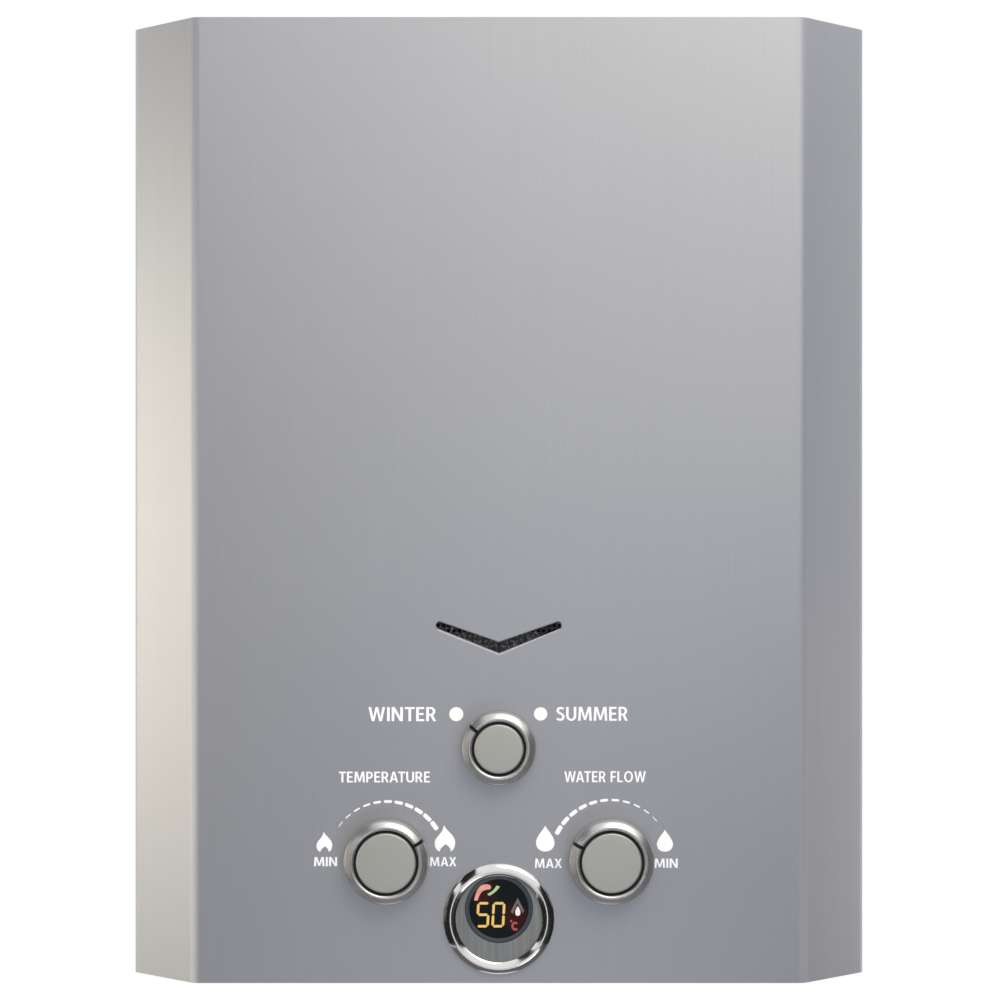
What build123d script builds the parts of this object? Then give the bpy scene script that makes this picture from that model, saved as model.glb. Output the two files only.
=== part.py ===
from build123d import *
from math import cos, radians, sin
import os

# Wall-hung instantaneous gas water heater, piece by piece, in millimetres.
# Frame: +Z up, +X to the right of someone facing the heater. The wall is the plane y = 0 and
# the front panel faces -Y. The origin is the middle of the four wall holes, on the wall.

os.makedirs("parts", exist_ok=True)

# Casing
CASE_WIDTH = 340.0
CASE_HEIGHT = 440.0
FRONT_WIDTH = 278.0
BEVEL_DEPTH = 32.0
FOLD_RADIUS = 6.0
COVER_SHEET = 0.8
BACK_SHEET = 1.0
BOTTOM_FLANGE = 15.0
CUT_OVERRUN = 5.0
FIT_GAP = 0.3
RUNNING_GAP = 0.05

# Places of the controls on the front panel, from the middle of the panel
SEASON_Z = -112.5
DIAL_Z = -164.0
DIAL_SPREAD = 102.0
DISPLAY_Z = -190.5

# Places of the insides
VALVE_Y = -66.0
VALVE_Z = DIAL_Z
CHAMBER_WIDTH = 176.0
CHAMBER_SPAN = 92.0
CHAMBER_REAR_SPACE = 21.0
CHAMBER_FRONT_SPACE = 27.0
CHAMBER_Y = -(CHAMBER_REAR_SPACE + CHAMBER_SPAN / 2)
CHAMBER_BOTTOM = -62.0
CHAMBER_TOP = 118.0
TUBE_ROWS = 4
ROW_PITCH = 24.0
RETURN_REACH = 20.0
RETURN_X = CHAMBER_WIDTH / 2 + RETURN_REACH
HOT_X = -RETURN_X
HOT_Y = CHAMBER_Y + (TUBE_ROWS - 1) / 2 * ROW_PITCH

HALF_WIDTH = CASE_WIDTH / 2
TOP_Z = CASE_HEIGHT / 2
BOTTOM_Z = -CASE_HEIGHT / 2
CASE_DEPTH = CHAMBER_REAR_SPACE + CHAMBER_SPAN + CHAMBER_FRONT_SPACE
FRONT_Y = -CASE_DEPTH
INSIDE_Y = FRONT_Y + COVER_SHEET
BACK_Y = -BACK_SHEET
INNER_HALF_WIDTH = HALF_WIDTH - COVER_SHEET


def facing(y):
    """Upright plane at y that faces the user: its own x and y run along X and Z."""
    return Plane(origin=(0, y, 0), x_dir=(1, 0, 0), z_dir=(0, -1, 0))


def across(x):
    """Upright plane at x that faces +X: its own x and y run along Y and Z."""
    return Plane(origin=(x, 0, 0), x_dir=(0, 1, 0), z_dir=(1, 0, 0))


def save(piece, label):
    """Names a finished piece and writes its STEP file."""
    piece.part.label = label
    export_step(piece.part, f"parts/{label}.step")


# Front cover: one folded steel sheet with bevelled front corners and an open back
CHEVRON_HALF_SPAN = 28.4
CHEVRON_TIP_Z = -56.6
CHEVRON_INNER_APEX_Z = -64.8
CHEVRON_OUTER_APEX_Z = -69.7
CHEVRON_TIP_WIDTH = 3.1
CHEVRON_LIP = 0.4
CHEVRON_TIP_SHARE = 0.45
SHAFT_HOLE_RADIUS = 5.0
DISPLAY_HOLE_RADIUS = 21.5
EXHAUST_SLOT_LENGTH = 40.0
EXHAUST_SLOT_WIDTH = 6.0
EXHAUST_PITCH = 14.0
EXHAUST_ROW_PITCH = 48.0
EXHAUST_COLUMNS = 12
EXHAUST_ROWS = 2
AIR_SLOT_LENGTH = 58.0
AIR_SLOT_WIDTH = 4.0
AIR_SLOT_PITCH = 10.0
AIR_SLOTS = 9
AIR_SLOTS_Y = -60.0
AIR_SLOTS_Z = -130.0
COVER_SCREW_HOLE = 2.2
COVER_SCREW_Z = 135.0
FLANGE_DEPTH = 14.0
COVER_SCREW_Y = BACK_Y - FLANGE_DEPTH / 2


def cover_plan(rear_y, inset, fold_radius):
    """Plan of the cover, drawn in by inset, with its two bevels and its four folds."""
    bevel_y = FRONT_Y + BEVEL_DEPTH
    with BuildSketch() as plan:
        with BuildLine():
            Polyline(
                (HALF_WIDTH, rear_y),
                (HALF_WIDTH, bevel_y),
                (FRONT_WIDTH / 2, FRONT_Y),
                (-FRONT_WIDTH / 2, FRONT_Y),
                (-HALF_WIDTH, bevel_y),
                (-HALF_WIDTH, rear_y),
                close=True,
            )
        make_face()
        if fold_radius > 0:
            fillet(plan.vertices().sort_by(Axis.Y)[:4], radius=fold_radius)
        if inset > 0:
            offset(amount=-inset, kind=Kind.INTERSECTION)
    return plan.sketch


def chevron_outline():
    """Outline of the flame window: a shallow V whose arms taper to round tips."""
    arm_rise = CHEVRON_TIP_Z - (CHEVRON_INNER_APEX_Z + CHEVRON_OUTER_APEX_Z) / 2
    arm = Vector(CHEVRON_HALF_SPAN, arm_rise)
    square = Vector(-arm.Y, arm.X).normalized() * (CHEVRON_TIP_WIDTH / 2)
    with BuildSketch() as outline:
        with BuildLine():
            Polyline(
                (0, CHEVRON_INNER_APEX_Z),
                (CHEVRON_HALF_SPAN + square.X, CHEVRON_TIP_Z + square.Y),
                (CHEVRON_HALF_SPAN - square.X, CHEVRON_TIP_Z - square.Y),
                (0, CHEVRON_OUTER_APEX_Z),
                (-CHEVRON_HALF_SPAN + square.X, CHEVRON_TIP_Z - square.Y),
                (-CHEVRON_HALF_SPAN - square.X, CHEVRON_TIP_Z + square.Y),
                close=True,
            )
        make_face()
        tips = outline.vertices().filter_by(lambda v: abs(v.X) > CHEVRON_HALF_SPAN / 2)
        fillet(tips, radius=CHEVRON_TIP_WIDTH * CHEVRON_TIP_SHARE)
    return outline.sketch


with BuildPart() as front_cover:
    with BuildSketch(Plane.XY.offset(BOTTOM_Z)):
        add(cover_plan(BACK_Y, 0, FOLD_RADIUS))
    extrude(amount=CASE_HEIGHT)
    with BuildSketch(Plane.XY.offset(BOTTOM_Z + COVER_SHEET)):
        add(cover_plan(BACK_Y + CUT_OVERRUN, COVER_SHEET, FOLD_RADIUS))
    extrude(amount=CASE_HEIGHT - 2 * COVER_SHEET, mode=Mode.SUBTRACT)
    with BuildSketch(Plane.XY.offset(BOTTOM_Z - CUT_OVERRUN)):
        add(cover_plan(BACK_Y + BOTTOM_FLANGE + CUT_OVERRUN, BOTTOM_FLANGE, 0))
    extrude(amount=COVER_SHEET + 2 * CUT_OVERRUN, mode=Mode.SUBTRACT)
    with BuildSketch(Plane.XY.offset(TOP_Z + CUT_OVERRUN)):
        with Locations((0, CHAMBER_Y)):
            with GridLocations(EXHAUST_PITCH, EXHAUST_ROW_PITCH, EXHAUST_COLUMNS, EXHAUST_ROWS):
                SlotOverall(EXHAUST_SLOT_LENGTH, EXHAUST_SLOT_WIDTH, rotation=90)
    extrude(amount=-(COVER_SHEET + 2 * CUT_OVERRUN), mode=Mode.SUBTRACT)
    with BuildSketch(Plane.YZ):
        with Locations((AIR_SLOTS_Y, AIR_SLOTS_Z)):
            with GridLocations(0, AIR_SLOT_PITCH, 1, AIR_SLOTS):
                SlotOverall(AIR_SLOT_LENGTH, AIR_SLOT_WIDTH)
        with Locations((COVER_SCREW_Y, COVER_SCREW_Z), (COVER_SCREW_Y, -COVER_SCREW_Z)):
            Circle(COVER_SCREW_HOLE)
    extrude(amount=CASE_WIDTH, both=True, mode=Mode.SUBTRACT)
    with BuildSketch(facing(FRONT_Y - CUT_OVERRUN)):
        add(chevron_outline())
        with Locations((0, SEASON_Z), (-DIAL_SPREAD / 2, DIAL_Z), (DIAL_SPREAD / 2, DIAL_Z)):
            Circle(SHAFT_HOLE_RADIUS)
        with Locations((0, DISPLAY_Z)):
            Circle(DISPLAY_HOLE_RADIUS)
    extrude(amount=-(COVER_SHEET + 2 * CUT_OVERRUN), mode=Mode.SUBTRACT)
    panel = front_cover.faces().sort_by(Axis.Y)[0]
    chamfer(panel.inner_wires().sort_by(Axis.Z)[-1].edges(), length=CHEVRON_LIP)
save(front_cover, "front_cover")

# Flame guard: perforated steel behind the chevron window, seated on the inside of the panel
GUARD_SHEET = 0.6
GUARD_WIDTH = 66.0
GUARD_HEIGHT = 22.0
GUARD_HOLE = 0.75
GUARD_PITCH = 2.4
GUARD_COLUMNS = 26
GUARD_ROWS = 8
CHEVRON_MID_Z = (CHEVRON_TIP_Z + CHEVRON_OUTER_APEX_Z) / 2

with BuildPart() as flame_guard:
    with BuildSketch(facing(INSIDE_Y)):
        with Locations((0, CHEVRON_MID_Z)):
            Rectangle(GUARD_WIDTH, GUARD_HEIGHT)
            with GridLocations(GUARD_PITCH, GUARD_PITCH, GUARD_COLUMNS, GUARD_ROWS):
                Circle(GUARD_HOLE, mode=Mode.SUBTRACT)
    extrude(amount=-GUARD_SHEET)
save(flame_guard, "flame_guard")

# Back plate: galvanised sheet with side flanges, stiffening beads and ears for the wall screws
EAR_WIDTH = 210.0
EAR_HEIGHT = 17.0
EAR_CORNER = 8.0
WALL_HOLE_RADIUS = 3.0
WALL_HOLE_SPREAD = 170.0
WALL_HOLE_RISE = 8.5
BEAD_WIDTH = 14.0
BEAD_RISE = 3.0
BEAD_LENGTH = 150.0
BEAD_SPREAD = 280.0
BEAD_Z = 110.0
BEAD_TAPER = 19.0
WALL_HOLE_Z = TOP_Z + WALL_HOLE_RISE
FLANGE_X = INNER_HALF_WIDTH - FIT_GAP - BACK_SHEET

with BuildPart() as back_plate:
    with BuildSketch(facing(0)) as plate:
        Rectangle(CASE_WIDTH, CASE_HEIGHT)
        with Locations((0, TOP_Z), (0, BOTTOM_Z)):
            Rectangle(EAR_WIDTH, 2 * EAR_HEIGHT)
        ears = plate.vertices().filter_by(lambda v: abs(v.Y) > TOP_Z + EAR_HEIGHT / 2)
        fillet(ears, radius=EAR_CORNER)
        with GridLocations(WALL_HOLE_SPREAD, 2 * WALL_HOLE_Z, 2, 2):
            Circle(WALL_HOLE_RADIUS, mode=Mode.SUBTRACT)
    extrude(amount=BACK_SHEET)
    with BuildSketch(facing(0)):
        with GridLocations(2 * FLANGE_X + BACK_SHEET, 0, 2, 1):
            Rectangle(BACK_SHEET, CASE_HEIGHT - 2 * (COVER_SHEET + FIT_GAP))
    extrude(amount=BACK_SHEET + FLANGE_DEPTH)
    with BuildSketch(facing(0)):
        with Locations((0, BEAD_Z)):
            with GridLocations(BEAD_SPREAD, 0, 2, 1):
                SlotOverall(BEAD_LENGTH, BEAD_WIDTH, rotation=90)
    extrude(amount=BACK_SHEET + BEAD_RISE, taper=BEAD_TAPER)
    with BuildSketch(facing(0)):
        with Locations((0, BEAD_Z)):
            with GridLocations(BEAD_SPREAD, 0, 2, 1):
                SlotOverall(BEAD_LENGTH - 2 * BACK_SHEET, BEAD_WIDTH - 2 * BACK_SHEET, rotation=90)
    extrude(amount=BEAD_RISE, taper=BEAD_TAPER, mode=Mode.SUBTRACT)
    with BuildSketch(Plane.YZ):
        with Locations((COVER_SCREW_Y, COVER_SCREW_Z), (COVER_SCREW_Y, -COVER_SCREW_Z)):
            Circle(COVER_SCREW_HOLE)
    extrude(amount=CASE_WIDTH, both=True, mode=Mode.SUBTRACT)
save(back_plate, "back_plate")

# Cover screws: pan heads outside the side walls, shanks through cover and flange
SCREW_SHANK_RADIUS = COVER_SCREW_HOLE - FIT_GAP / 2
SCREW_HEAD_RADIUS = 3.9
SCREW_HEAD_RISE = 2.4
SCREW_HEAD_TAPER = 18.0
SCREW_LENGTH = 9.0
SCREW_CROSS = 3.6
SCREW_CROSS_WIDTH = 1.0
SCREW_CROSS_DEPTH = 1.4

with BuildPart() as cover_screws:
    for side in (1, -1):
        for height in (COVER_SCREW_Z, -COVER_SCREW_Z):
            head_plane = Plane(
                origin=(side * HALF_WIDTH, COVER_SCREW_Y, height), x_dir=(0, 1, 0), z_dir=(side, 0, 0)
            )
            with BuildSketch(head_plane):
                Circle(SCREW_HEAD_RADIUS)
            extrude(amount=SCREW_HEAD_RISE, taper=SCREW_HEAD_TAPER)
            with BuildSketch(head_plane):
                Circle(SCREW_SHANK_RADIUS)
            extrude(amount=-SCREW_LENGTH)
            with BuildSketch(head_plane.offset(SCREW_HEAD_RISE)):
                Rectangle(SCREW_CROSS, SCREW_CROSS_WIDTH)
                Rectangle(SCREW_CROSS_WIDTH, SCREW_CROSS)
            extrude(amount=-SCREW_CROSS_DEPTH, mode=Mode.SUBTRACT)
save(cover_screws, "cover_screws")

# Knobs: a satin ring, a black core that shows in the groove and as the pointer line, a flat cap,
# and a brass spindle that ends in a drilled plug inside its valve
DIAL_RADIUS = 19.2
SEASON_RADIUS = 16.8
KNOB_GAP = 0.6
KNOB_HEIGHT = 13.0
KNOB_WALL = 5.0
RING_WIDTH = 4.45
RING_DROP = 1.9
RING_ROUND = 2.0
RING_LIP = 1.1
LIP_DROP = 0.8
LIP_ROUND = 1.0
GROOVE_WIDTH = 1.2
GROOVE_DEPTH = 2.2
CAP_SINK = 0.3
CAP_ROUND = 0.9
SEAT_GAP = 0.05
POINTER_WIDTH = 1.0
POINTER_SINK = 0.12
SHAFT_RADIUS = 3.0
SHAFT_FLAT = 2.3
CORE_ROOF = 2.0
HUB_RADIUS = 4.6
SEASON_POINTER = 142.0
TEMPERATURE_POINTER = 31.0
WATER_FLOW_POINTER = 153.0

# Valve fronts and the plugs that turn in them
VALVE_HALF_DEPTH = 24.0
VALVE_FRONT_Y = VALVE_Y - VALVE_HALF_DEPTH
PLUG_RADIUS = 7.0
PLUG_LENGTH = 18.0
PLUG_PORT = 2.4
GLAND_FLATS = 20.0
GLAND_THICK = 6.0

GROOVE_FLOOR = KNOB_HEIGHT - GROOVE_DEPTH
SHAFT_TIP = GROOVE_FLOOR - CORE_ROOF - SEAT_GAP


def knob_section(place, angle):
    """Plane through a knob's axis: x runs out from the axis towards angle, y out of the panel."""
    out = radians(angle)
    return Plane(origin=place, x_dir=(cos(out), 0, sin(out)), z_dir=(sin(out), 0, -cos(out)))


def ring_profile(radius, sink):
    """Half section of a knob's ring: an upright wall, a round shoulder and a face that slopes up."""
    inner = radius - RING_WIDTH
    with BuildSketch() as profile:
        with BuildLine():
            Polyline(
                (inner, KNOB_HEIGHT - LIP_DROP - sink),
                (inner, KNOB_GAP),
                (radius - sink, KNOB_GAP),
                (radius - sink, KNOB_HEIGHT - RING_DROP - sink),
                (inner + RING_LIP, KNOB_HEIGHT - sink),
                close=True,
            )
        make_face()
        shoulder = profile.vertices().sort_by(Axis.X)[-2:].sort_by(Axis.Y)[-1]
        fillet(shoulder, radius=RING_ROUND)
        fillet(profile.vertices().sort_by(Axis.Y)[-1], radius=LIP_ROUND)
    return profile.sketch


def make_knob(name, radius, x, z, pointer):
    """Writes the ring, core, cap and spindle of one knob."""
    place = (x, FRONT_Y, z)
    spin = Axis(place, (0, -1, 0))
    section = knob_section(place, pointer)
    face = facing(FRONT_Y)
    inner = radius - RING_WIDTH

    with BuildPart() as ring:
        with BuildSketch(section):
            add(ring_profile(radius, 0))
        revolve(axis=spin)
        with BuildSketch(section):
            with Locations((radius - RING_WIDTH / 2, KNOB_HEIGHT)):
                Rectangle(RING_WIDTH + 2 * SEAT_GAP, 2 * (KNOB_HEIGHT - KNOB_GAP - KNOB_WALL))
        extrude(amount=POINTER_WIDTH / 2, both=True, mode=Mode.SUBTRACT)
    save(ring, f"{name}_knob_ring")

    with BuildPart() as core:
        with BuildSketch(face.offset(KNOB_GAP)):
            with Locations((x, z)):
                Circle(inner - SEAT_GAP)
        extrude(amount=GROOVE_FLOOR - KNOB_GAP)
        with BuildSketch(section):
            add(ring_profile(radius, POINTER_SINK))
            with Locations((radius - RING_WIDTH / 2, 0)):
                Rectangle(2 * RING_WIDTH, 2 * (KNOB_GAP + KNOB_WALL + SEAT_GAP), mode=Mode.SUBTRACT)
            with Locations((inner - GROOVE_WIDTH / 2, (KNOB_GAP + KNOB_WALL + GROOVE_FLOOR) / 2)):
                Rectangle(GROOVE_WIDTH, GROOVE_FLOOR - KNOB_GAP - KNOB_WALL - 2 * SEAT_GAP)
        extrude(amount=POINTER_WIDTH / 2 - SEAT_GAP, both=True)
        with BuildSketch(face):
            with Locations((x, z)):
                Circle(SHAFT_RADIUS + SEAT_GAP)
                with Locations((0, SHAFT_FLAT + SEAT_GAP + SHAFT_RADIUS)):
                    Rectangle(2 * HUB_RADIUS, 2 * SHAFT_RADIUS, mode=Mode.SUBTRACT)
        extrude(amount=SHAFT_TIP + SEAT_GAP, mode=Mode.SUBTRACT)
    save(core, f"{name}_knob_core")

    with BuildPart() as cap:
        with BuildSketch(face.offset(GROOVE_FLOOR)):
            with Locations((x, z)):
                Circle(inner - GROOVE_WIDTH)
        extrude(amount=GROOVE_DEPTH - CAP_SINK)
        fillet(cap.faces().sort_by(Axis.Y)[0].edges(), radius=CAP_ROUND)
    save(cap, f"{name}_knob_cap")

    with BuildPart() as spindle:
        with BuildSketch(face.offset(SHAFT_TIP)):
            with Locations((x, z)):
                Circle(SHAFT_RADIUS)
        extrude(amount=FRONT_Y - VALVE_FRONT_Y - SHAFT_TIP - FIT_GAP)
        with BuildSketch(face.offset(SHAFT_TIP)):
            with Locations((x, z + SHAFT_FLAT + SHAFT_RADIUS)):
                Rectangle(2 * HUB_RADIUS, 2 * SHAFT_RADIUS)
        extrude(amount=-(SHAFT_TIP - KNOB_GAP), mode=Mode.SUBTRACT)
        with BuildSketch(facing(VALVE_FRONT_Y + FIT_GAP)):
            with Locations((x, z)):
                Circle(PLUG_RADIUS)
        extrude(amount=-PLUG_LENGTH)
        with BuildSketch(across(x)):
            with Locations((VALVE_FRONT_Y + FIT_GAP + PLUG_LENGTH / 2, z)):
                Circle(PLUG_PORT)
        extrude(amount=2 * PLUG_RADIUS, both=True, mode=Mode.SUBTRACT)
    save(spindle, f"{name}_spindle")


make_knob("season", SEASON_RADIUS, 0, SEASON_Z, SEASON_POINTER)
make_knob("temperature", DIAL_RADIUS, -DIAL_SPREAD / 2, DIAL_Z, TEMPERATURE_POINTER)
make_knob("water_flow", DIAL_RADIUS, DIAL_SPREAD / 2, DIAL_Z, WATER_FLOW_POINTER)

# Gland nuts: hexagons that close the valve bores and guide the spindles
with BuildPart() as gland_nuts:
    with BuildSketch(facing(VALVE_FRONT_Y)):
        with Locations((0, SEASON_Z), (-DIAL_SPREAD / 2, DIAL_Z), (DIAL_SPREAD / 2, DIAL_Z)):
            RegularPolygon(GLAND_FLATS / 2, 6, major_radius=False)
            Circle(SHAFT_RADIUS + RUNNING_GAP, mode=Mode.SUBTRACT)
    extrude(amount=GLAND_THICK)
save(gland_nuts, "gland_nuts")

# Round temperature display: chrome bezel, brushed plate with an off-centre window, dark lens,
# light module, circuit board and the cup that holds them through the panel
BEZEL_RADIUS = 25.1
BEZEL_INNER = 19.6
BEZEL_CREST = 22.3
BEZEL_LIP = 2.4
BEZEL_RISE = 3.3
BEZEL_STEEP = 42.0
DISPLAY_PLATE = 1.0
PLATE_RADIUS = 21.0
WINDOW_RADIUS = 15.5
WINDOW_LIFT = 4.4
LENS_RISE = 0.6
LENS_THICK = 2.0
CUP_WALL = 3.6
CUP_DEPTH = 18.0
CUP_FLOOR = 2.0
CUP_FLANGE = 25.0
CUP_FLANGE_THICK = 1.6
BOARD_THICK = 1.6
MODULE_WIDTH = 24.0
MODULE_HEIGHT = 16.0
MODULE_THICK = 5.0
CUP_RADIUS = DISPLAY_HOLE_RADIUS - FIT_GAP
CUP_INNER = CUP_RADIUS - CUP_WALL
DISPLAY_FACE = facing(FRONT_Y)
PLATE_SEAT = DISPLAY_PLATE + SEAT_GAP
BEZEL_BEND = (BEZEL_RADIUS - BEZEL_CREST) / sin(radians(BEZEL_STEEP))
BEND_Z = BEZEL_RISE - BEZEL_BEND

with BuildPart() as display_bezel:
    with BuildSketch(knob_section((0, FRONT_Y, DISPLAY_Z), 0)):
        with BuildLine():
            Polyline(
                (BEZEL_INNER, BEZEL_LIP),
                (BEZEL_INNER, PLATE_SEAT),
                (PLATE_RADIUS + SEAT_GAP, PLATE_SEAT),
                (PLATE_RADIUS + SEAT_GAP, 0),
                (BEZEL_RADIUS, 0),
                (BEZEL_RADIUS, BEND_Z + BEZEL_BEND * cos(radians(BEZEL_STEEP))),
            )
            CenterArc((BEZEL_CREST, BEND_Z), BEZEL_BEND, 90 - BEZEL_STEEP, BEZEL_STEEP)
            EllipticalCenterArc(
                (BEZEL_CREST, BEZEL_LIP),
                BEZEL_CREST - BEZEL_INNER,
                BEZEL_RISE - BEZEL_LIP,
                start_angle=90,
                arc_size=90,
            )
        make_face()
    revolve(axis=Axis((0, FRONT_Y, DISPLAY_Z), (0, -1, 0)))
save(display_bezel, "display_bezel")

with BuildPart() as display_plate:
    with BuildSketch(DISPLAY_FACE):
        with Locations((0, DISPLAY_Z)):
            Circle(PLATE_RADIUS)
        with Locations((0, DISPLAY_Z + WINDOW_LIFT)):
            Circle(WINDOW_RADIUS, mode=Mode.SUBTRACT)
    extrude(amount=DISPLAY_PLATE)
save(display_plate, "display_plate")

with BuildPart() as display_lens:
    with BuildSketch(DISPLAY_FACE):
        with Locations((0, DISPLAY_Z)):
            Circle(CUP_INNER - SEAT_GAP)
    extrude(amount=-LENS_THICK)
    with BuildSketch(DISPLAY_FACE):
        with Locations((0, DISPLAY_Z + WINDOW_LIFT)):
            Circle(WINDOW_RADIUS - SEAT_GAP)
    extrude(amount=LENS_RISE)
save(display_lens, "display_lens")

with BuildPart() as display_module:
    with BuildSketch(DISPLAY_FACE.offset(-LENS_THICK)):
        with Locations((0, DISPLAY_Z)):
            Rectangle(MODULE_WIDTH, MODULE_HEIGHT)
    extrude(amount=-MODULE_THICK)
save(display_module, "display_module")

with BuildPart() as display_board:
    with BuildSketch(DISPLAY_FACE.offset(-LENS_THICK - MODULE_THICK)):
        with Locations((0, DISPLAY_Z)):
            Circle(CUP_INNER - SEAT_GAP)
    extrude(amount=-BOARD_THICK)
save(display_board, "display_board")

with BuildPart() as display_cup:
    with BuildSketch(DISPLAY_FACE):
        with Locations((0, DISPLAY_Z)):
            Circle(CUP_RADIUS)
    extrude(amount=-CUP_DEPTH)
    with BuildSketch(DISPLAY_FACE.offset(-COVER_SHEET)):
        with Locations((0, DISPLAY_Z)):
            Circle(CUP_FLANGE)
    extrude(amount=-CUP_FLANGE_THICK)
    with BuildSketch(DISPLAY_FACE):
        with Locations((0, DISPLAY_Z)):
            Circle(CUP_INNER)
    extrude(amount=-(CUP_DEPTH - CUP_FLOOR), mode=Mode.SUBTRACT)
save(display_cup, "display_cup")

# Gas valve: die-cast block on the left. The temperature plug turns in its front bore, gas comes
# up from the inlet below, and the disc in its chamber opens when water flows
GAS_WIDTH = 62.0
VALVE_HEIGHT = 44.0
VALVE_EDGE = 4.0
BLOCK_GAP = 36.0
LINK_SETBACK = 8.0
DISC_RADIUS = 9.0
DISC_THICK = 4.0
PUSH_STROKE = 3.0
DISC_CHAMBER_RADIUS = 11.0
DISC_CHAMBER_LENGTH = 22.0
DISC_SEAT_WALL = 5.0
ROD_RADIUS = 2.5
PORT_RADIUS = 7.0
PORT_DEPTH = 10.0
GAS_X = -DIAL_SPREAD / 2
GAS_RIGHT = -BLOCK_GAP / 2
GAS_LEFT = GAS_RIGHT - GAS_WIDTH
GAS_MID_X = (GAS_LEFT + GAS_RIGHT) / 2
VALVE_BOTTOM = VALVE_Z - VALVE_HEIGHT / 2
VALVE_TOP = VALVE_Z + VALVE_HEIGHT / 2
LINK_Y = VALVE_Y + LINK_SETBACK
DISC_CHAMBER_X = GAS_RIGHT - DISC_SEAT_WALL - DISC_CHAMBER_LENGTH


def valve_block(mid_x, width):
    """Rounded block of a valve body."""
    with BuildSketch(Plane.XY.offset(VALVE_BOTTOM)) as plan:
        with Locations((mid_x, VALVE_Y)):
            RectangleRounded(width, 2 * VALVE_HALF_DEPTH, VALVE_EDGE)
    extrude(plan.sketch, amount=VALVE_HEIGHT)


def drill_valve(plug_x):
    """Front bore for the plug, and the two ports below and above it."""
    with BuildSketch(facing(VALVE_FRONT_Y)) as bore:
        with Locations((plug_x, VALVE_Z)):
            Circle(PLUG_RADIUS + RUNNING_GAP)
    extrude(bore.sketch, amount=-(PLUG_LENGTH + 2 * FIT_GAP), mode=Mode.SUBTRACT)
    for level, depth in ((VALVE_BOTTOM, PORT_DEPTH), (VALVE_TOP, -PORT_DEPTH)):
        with BuildSketch(Plane.XY.offset(level)) as port:
            with Locations((plug_x, VALVE_Y)):
                Circle(PORT_RADIUS)
        extrude(port.sketch, amount=depth, mode=Mode.SUBTRACT)


with BuildPart() as gas_valve_body:
    valve_block(GAS_MID_X, GAS_WIDTH)
    drill_valve(GAS_X)
    with BuildSketch(across(DISC_CHAMBER_X)):
        with Locations((LINK_Y, VALVE_Z)):
            Circle(DISC_CHAMBER_RADIUS)
    extrude(amount=DISC_CHAMBER_LENGTH, mode=Mode.SUBTRACT)
    with BuildSketch(across(DISC_CHAMBER_X)):
        with Locations((LINK_Y, VALVE_Z)):
            Circle(ROD_RADIUS + RUNNING_GAP)
    extrude(amount=GAS_WIDTH, mode=Mode.SUBTRACT)
save(gas_valve_body, "gas_valve_body")

# Safety solenoid on the left of the gas valve: coil case, and the plunger that slides in it
SOLENOID_RADIUS = 14.0
SOLENOID_LENGTH = 40.0
SOLENOID_BORE = 6.0
SOLENOID_END = 4.0
SOLENOID_CHAMFER = 1.0
PLUNGER_LENGTH = 26.0
PLUNGER_STROKE = 3.0
PLUNGER_GAP = 0.15
TERMINAL_WIDTH = 6.0
TERMINAL_THICK = 0.8
TERMINAL_REACH = 8.0
TERMINAL_SPREAD = 10.0
SOLENOID_X = GAS_LEFT - SOLENOID_LENGTH
PLUNGER_X = GAS_LEFT - SOLENOID_END - FIT_GAP - PLUNGER_LENGTH

with BuildPart() as solenoid_case:
    with BuildSketch(across(SOLENOID_X)):
        with Locations((VALVE_Y, VALVE_Z)):
            Circle(SOLENOID_RADIUS)
    extrude(amount=SOLENOID_LENGTH)
    chamfer(solenoid_case.faces().sort_by(Axis.X)[0].edges(), length=SOLENOID_CHAMFER)
    with BuildSketch(across(SOLENOID_X + SOLENOID_END)):
        with Locations((VALVE_Y, VALVE_Z)):
            Circle(SOLENOID_BORE)
    extrude(amount=SOLENOID_LENGTH - 2 * SOLENOID_END, mode=Mode.SUBTRACT)
    with BuildSketch(across(SOLENOID_X)):
        with Locations((VALVE_Y, VALVE_Z)):
            with GridLocations(TERMINAL_SPREAD, 0, 2, 1):
                Rectangle(TERMINAL_THICK, TERMINAL_WIDTH)
    extrude(amount=-TERMINAL_REACH)
save(solenoid_case, "solenoid_case")

with BuildPart() as solenoid_plunger:
    with BuildSketch(across(PLUNGER_X)):
        with Locations((VALVE_Y, VALVE_Z)):
            Circle(SOLENOID_BORE - PLUNGER_GAP)
    extrude(amount=PLUNGER_LENGTH)
    chamfer(solenoid_plunger.edges().filter_by(GeomType.CIRCLE), length=SOLENOID_CHAMFER)
save(solenoid_plunger, "solenoid_plunger")

# Water valve: brass block on the right with the flow plug in its front, and on its left a round
# diaphragm housing that a cover closes
WATER_WIDTH = 34.0
HOUSING_RADIUS = 30.0
HOUSING_INNER = 21.5
HOUSING_LENGTH = 13.0
HOUSING_WALL = 4.0
HOUSING_COVER = 12.0
DIAPHRAGM_THICK = 2.0
BUSH_RADIUS = 7.0
BUSH_LENGTH = 6.0
HOUSING_SCREWS = 6
HOUSING_SCREW_RING = 25.7
HOUSING_SCREW_HOLE = 2.0
DRAIN_RADIUS = 4.0
DRAIN_DEPTH = 9.0
WATER_X = DIAL_SPREAD / 2
WATER_RIGHT = WATER_X + WATER_WIDTH / 2
WATER_LEFT = WATER_X - WATER_WIDTH / 2
DIAPHRAGM_X = WATER_LEFT - HOUSING_LENGTH
COVER_RIGHT = DIAPHRAGM_X - DIAPHRAGM_THICK
COVER_LEFT = COVER_RIGHT - HOUSING_COVER


def housing_disc(x, length, radius, mode=Mode.ADD):
    """Disc on the push rod's axis, from x towards +X."""
    with BuildSketch(across(x)) as disc:
        with Locations((LINK_Y, VALVE_Z)):
            Circle(radius)
    extrude(disc.sketch, amount=length, mode=mode)


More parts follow.
